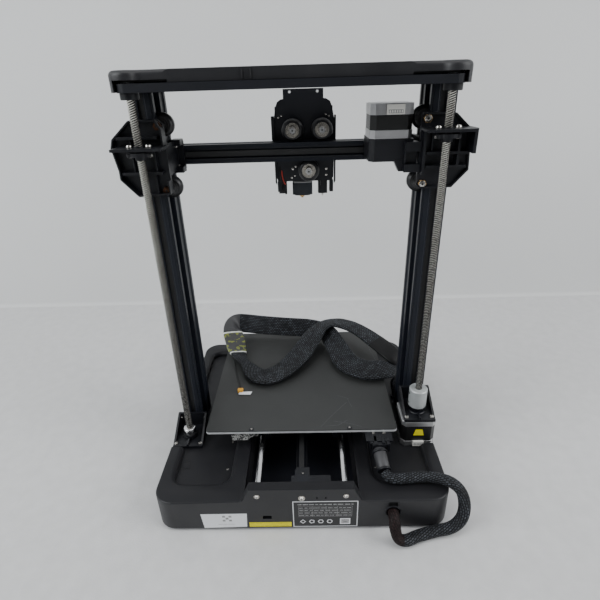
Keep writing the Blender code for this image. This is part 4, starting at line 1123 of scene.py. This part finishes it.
def build_brackets():
    walls = Shape()
    rim_band(walls, ((131, 428.5), (157, 428.3), (175.9, 411.8), (178.4, 403.5), (174.8, 381.7),
                     (175, 373), (159, 355.5), (126, 357.5), (126, 371)), (39, 47), 1.8)
    rim_band(walls, ((131, 428.5), (126, 420), (126, 405)), (39, 47), -1.8)
    for x, low, high in ((136.5, 379.5, 402), (158.5, 379.5, 402), (158.5, 405.5, 412)):
        walls.box((x - 0.7, x + 0.7), (39.2, 46), (low, high))
    walls.box((138, 139.4), (39.2, 45), (358, 378))
    walls.finish("bracket_rim_left", "x_gantry", "matte_plastic", bevel=0.35)
    walls = Shape()
    rim_band(walls, ((-125.5, 428), (-157.5, 427), (-172.5, 413.4), (-173, 391), (-174.5, 391),
                     (-175.4, 373.7), (-160.2, 356.8), (-129, 356), (-125.5, 359)),
             (39, 43.6), -1.8)
    for x, low, high in ((-151.5, 379.5, 390), (-151.5, 392, 411.5), (-136.5, 392, 411.5)):
        walls.box((x - 0.7, x + 0.7), (39.2, 44.6), (low, high))
    walls.finish("bracket_rim_right", "x_gantry", "matte_plastic", bevel=0.35)

    slab = Shape()
    for x, top in ((UPRIGHT_X, 401), (-UPRIGHT_X, 410.3)):
        slab.prism(rounded((x - 11, x + 11), (49, 64.5), 3), "z", top - 4.2, top - 0.9)
    slab.finish("nut_flanges", "x_gantry", "matte_plastic", bevel=0.3)

    fixings = Shape()
    for middle, top in ((UPRIGHT_X, 405), (-UPRIGHT_X, 414.5)):
        washer = ((2.9, top), (3.3, top + 0.3), (3.3, top + 0.9), (2.9, top + 1.1))
        nut = ((2.2, top - 9.2), (2.9, top - 8.6), (2.9, top - 6.4), (2.2, top - 5.8))
        for x in (middle - 9.2, middle + 9.2):
            fixings.turned("z", (x, SCREW_Y), washer, "screw", 20, closed=False)
            fixings.screw((x, SCREW_Y, top + 1), "z", 1, 2.95)
            fixings.turned("z", (x, SCREW_Y), nut, "screw", 6, closed=False)
    for z in (378, 399):
        fixings.screw((127.5, -2, z), "y", 1, 2)
    fixings.finish("gantry_screws", "x_gantry", "steel")

    nuts = Shape("groove")
    collar = ((0.4, 42.1), (3.4, 42.1), (3.4, 42.7), (2.3, 43.1), (0.4, 43.1))
    # The nuts and caps at +X take the darkened brass: painted shade.
    for side, look, cap in ((-1, "brass", "screw"), (1, "brass_in_shade", "brass_in_shade")):
        for where in ("upper", "lower"):
            x, z = Z_WHEELS[where]
            centre = (side * x, z)
            nuts.prism(circle(centre, 4.3, 6), "y", 39.4, 42.2, look)
            nuts.turned("y", centre, collar, cap, 24)
            # A near-black hexagon for each socket: painted shade.
            nuts.prism(circle(centre, 1.3, 6), "y", 43, 43.2, "groove")
    nuts.finish("eccentric_nuts", "x_gantry", "brass", bevel=0.2)

    blocks = Shape()
    for z in ((399.4, 405.8), (371.5, 378)):
        blocks.box((121, 131.2), (-10.2, 4), z)
    blocks.finish("beam_clamp_left", "x_gantry", "matte_plastic", bevel=0.5)


def wheel(name, node, x, y, z, radius, metal):
    """A plastic tyre with a V rim on a shielded bearing."""
    half, rim = 5.1, 2.6
    made = Shape()
    edge = ((7.9, half), (radius - 2.9, half), (radius - 2.3, half - 0.3), (radius - 0.2, rim),
            (radius, rim - 0.4))
    tyre = [(r, y - out) for r, out in edge] + [(r, y + out) for r, out in reversed(edge)]
    made.turned("y", (x, z), tyre, "tyre", 48)
    for way in (-1, 1):
        face = y + way * (half - 0.5)
        back = y + way * 0.3
        proud, sunk = face + way * 0.25, face - way * 0.3
        bearing = ((8, back), (8, face), (7.6, proud), (6.6, proud), (6.3, sunk),
                   (4.7, sunk), (4.4, proud), (3, proud), (2.8, face), (2.8, back))
        made.turned("y", (x, z), bearing, metal, 48)
    made.finish(name, node, "wheel", [node], smooth=30)


def build_rail():
    # Near-black lines for the beam's grooves: painted shade.
    lines = Shape("groove")
    for z in (382.6, 393.8):
        for y in (-10.62, -30.48):
            lines.box((-148, 148), (y - 0.1, y + 0.1), (z - 0.25, z + 0.25))
    lines.finish("rail_groove_shade", "x_gantry", "anodised")

    knob = Shape()
    axis = (RAIL_Y, 388.2)
    knob.prism(toothed(axis, (9, 9, 8.2, 8.2), 48), "x", 172.2, 180.2)
    knob.disc("x", axis, 5, 168.3, 174)
    knob.disc("x", axis, 6.4, 180, 180.5)
    knob.finish("tension_knob_grip", "tension_knob", "matte_plastic", ["tension_knob"], bevel=0.4)

    for side, label in ((1, "left"), (-1, "right")):
        for where, (x, z) in Z_WHEELS.items():
            # The Z rollers' bearings take the darkened steel: painted shade.
            wheel(f"roller_{label}_{where}", f"z_wheel_{label}_{where}", side * x, 20.45, z, 11.5,
                  "steel_in_shade")


# ---- Print head ----

def build_head():
    bolts = Shape()
    head = ((2.6, -15.1), (4.55, -15.1), (4.75, -14.8), (4.75, -12.6), (4.2, -11.55), (2.6, -11.55))
    tip = ((0.1, -11.7), (2.9, -11.7), (2.6, -11.35), (0.1, -11.35))
    for index, (x, z) in enumerate(CARRIAGE_WHEELS, start=1):
        wheel(f"carriage_roller_{index}", f"carriage_wheel_{index}", x, RAIL_Y, z, 12, "shield")
        bolts.turned("y", (x, z), head, "screw", 28)
        bolts.turned("y", (x, z), tip, "silver", 24)
        # A near-black hexagon for each bolt's socket: painted shade.
        bolts.prism(circle((x, z), 1.1, 6), "y", -11.4, -11.25, "groove")
    eyelet = ((1, PLATE_Y), (1.8, PLATE_Y), (1.8, PLATE_Y + 0.3), (1, PLATE_Y + 0.3))
    for x in (-27, 3.5):
        bolts.turned("y", (x, 448), eyelet, "silver", 20)
    for x, z, size in ((13.5, 424, 1.1), (17, 422.5, 1.1), (-36, 424.5, 1.1), (-39.5, 423, 1.1),
                       (-41, 404, 1.1), (2.5, 366.5, 1.6), (4, 356.5, 1.4), (-36.5, 366, 1.7),
                       (-36.5, 359, 1.5), (-1, 369, 1.4), (0.5, 358.5, 1.1)):
        bolts.screw((x, PLATE_Y, z), "y", 1, size)
    bolts.finish("carriage_bolts", "print_head", "steel")

    back = Shape()
    outline = ((21.8, 424), (25, 424), (25, 399), (23.2, 398), (23.2, 352), (21.8, 349))
    back.prism(outline, "y", -36.4, -28)
    outline = ((-45.6, 424), (-47.4, 424), (-47.4, 352), (-45.6, 349))
    back.prism(outline, "y", -36.4, -30)
    back.box((-45, -40.6), (-44.5, -36.7), (338, 352))
    back.box((16.2, 21.4), (-60, -36.7), (339, 351))
    back.box((10.5, 13), (-44, -36.7), (336, 351))
    back.finish("head_side_guards", "print_head", "matte_plastic", bevel=0.5)

    core = Shape("laminate")
    core.prism(rounded((-20.3, 4.1), (-70, -49), 2, 4), "z", 332.4, 346.4, "sock")
    core.prism(rounded((-19.4, 3.2), (-69, -50), 1.6, 4), "z", 346.4, 347.6, "silver")
    core.prism(rounded((-18, 1.8), (-68, -51), 4, 4), "z", 330.9, 332.6, "sock")
    core.disc("z", (-7.6, -59.55), 3, 347, 354, "screw", 20)
    for i in range(12):
        core.prism(rounded((-19.8, 4.8), (-69.8, -48.2), 2, 3), "z", 353.2 + 2.9 * i,
                   354.6 + 2.9 * i)
    core.box((-12, -3), (-66, -52), (354, 388))
    core.finish("hot_end_core", "print_head", "silicone", ["hot_end"], bevel=0.35)

    coil = Shape("silver")
    for radius, low, high, look in ((17.5, -74, -60, "laminate"), (17.5, -60, -54, "silver"),
                                    (11, -54, -52, "silver")):
        coil.prism(circle((-12, 410), radius, 40 if radius > 12 else 32), "y", low, high, look)
    coil.finish("extruder_motor_body", "print_head", "motor", ["extruder_motor"], bevel=0.4)

    wire = Shape()
    red = ((14, -37, 372), (15.5, -34.5, 366), (15.2, -33, 358), (13, -34, 350), (11, -42, 346))
    black = ((17, -36, 374), (18, -32.6, 364), (17.2, -32.6, 354), (14, -38, 347))
    for points, look, radius in ((red, "red", 0.7), (black, "rubber", 0.8)):
        route = curve_through(points, 6)
        rings = []
        for i, point in enumerate(route):
            along = (route[min(i + 1, len(route) - 1)] - route[max(i - 1, 0)]).normalized()
            across = along.cross(Vector((1, 0, 0))).normalized()
            rings.append(hoop(point, across, along.cross(across), radius, 10))
        wire.rings(rings, look)
    wire.finish("head_wires", "print_head", "braid", smooth=60)

    fan = Shape()
    axis, front, blades, steps = (-11.8, 402), -81.6, 7, 6
    hub, tip = 6.8, 18.3
    fan.disc("y", axis, 7.5, front, front + 4.5, "matte", 36, 0.5)
    for blade in range(blades):
        rings = []
        for j in range(steps + 1):
            r = hub + (tip - hub) * j / steps
            leading = 2 * math.pi * blade / blades + 0.34 * j / steps
            trailing = leading + 0.33 + 0.02 * j
            corners = ((leading, 0.3), (trailing, 4.2), (trailing, 4.7), (leading, 0.9))
            rings.append([(axis[0] + r * math.cos(angle), front + y, axis[1] + r * math.sin(angle))
                          for angle, y in corners])
        fan.rings(rings)
    fan.finish("fan_rotor", "cooling_fan", "matte_plastic", ["cooling_fan"])
    guard = Shape()
    for x, z in ((-28, 386), (4.4, 386), (-28, 418), (4.4, 418)):
        guard.screw((x, -84, z), "y", -1, 2)
    guard.finish("fan_screws", "print_head", "steel")


# ---- Stage and light ----

def build_stage():
    table = Look("table_grey", (0.6, 0.6, 0.6), 0.75)
    table.mottle(60, 0.04).grain(500, 0.0002)
    wall = Look("wall_grey", (0.66, 0.665, 0.66), 0.85)
    wall.mottle(2, 0.03)
    LOOKS["table"], LOOKS["wall"] = table.material, wall.material
    wide, corner = (-3000, 3000), -420
    floor = [(2500, -0.02), (corner, -0.02)]
    cove = [(corner, -0.02), (corner - 4, 0.6), (corner - 8, 2.6), (corner - 10, 6),
            (corner - 10, 2600)]
    for name, profile, look in (("table_top", floor, "table"), ("back_wall", cove, "wall")):
        sheet = Shape()
        made = [[sheet.bm.verts.new((x, y, z)) for x in wide] for y, z in profile]
        for first, second in zip(made, made[1:]):
            sheet.face((first[0], first[1], second[1], second[0]), look)
        stage = sheet.finish(name, None, None, smooth=80)


def area_light(name, position, target, size, power, colour=(1, 1, 1)):
    data = bpy.data.lights.new(name, "AREA")
    data.shape = "RECTANGLE"
    data.size, data.size_y = size
    data.energy = power
    data.color = colour
    light = add_object(name, data)
    light.location = position
    light.rotation_euler = (Vector(target) - Vector(position)).to_track_quat("-Z", "Y").to_euler()


def build_light():
    """Bright windows at both sides, a dim room behind the viewer and a dim ceiling."""
    world = bpy.data.worlds.new("room")
    world.use_nodes = True
    scene.world = world
    tree = world.node_tree
    back = tree.nodes["Background"]
    back.inputs["Color"].default_value = (0.88, 0.91, 0.95, 1)
    split = tree.nodes.new("ShaderNodeSeparateXYZ")
    tree.links.new(tree.nodes.new("ShaderNodeTexCoord").outputs["Generated"],
                   split.inputs["Vector"])

    def add(first, second):
        total = tree.nodes.new("ShaderNodeMath")
        total.operation = "ADD"
        tree.links.new(first, total.inputs[0])
        tree.links.new(second, total.inputs[1])
        return total.outputs["Value"]

    x, y, z = (split.outputs[axis] for axis in "XYZ")
    strength = add(add(map_range(tree, x, 0.2, 0.95, 0.03, 0.6),
                       map_range(tree, x, -0.2, -0.95, 0.03, 0.6)),
                   add(map_range(tree, y, 0.1, -0.9, 0, 0.35), map_range(tree, z, 0.3, 1, 0, 0.16)))
    tree.links.new(strength, back.inputs["Strength"])
    area_light("window_left", (1.5, 0.8, 1.3), (0, 0, 0.2), (1.3, 1.3), 30, (0.95, 0.98, 1))
    area_light("window_right", (-1.6, 0.6, 1.2), (0, 0, 0.2), (1.2, 1.3), 24, (0.98, 0.99, 1))
    area_light("wall_wash", (0, 0.35, 2.1), (0, -0.43, 0.5), (2, 0.8), 12)


def main():
    build_camera()
    dress_nodes()
    build_cords()
    build_base()
    build_labels()
    build_bed()
    build_uprights()
    build_top()
    build_z_axis()
    build_motors()
    build_brackets()
    build_rail()
    build_head()
    build_stage()
    build_light()


main()
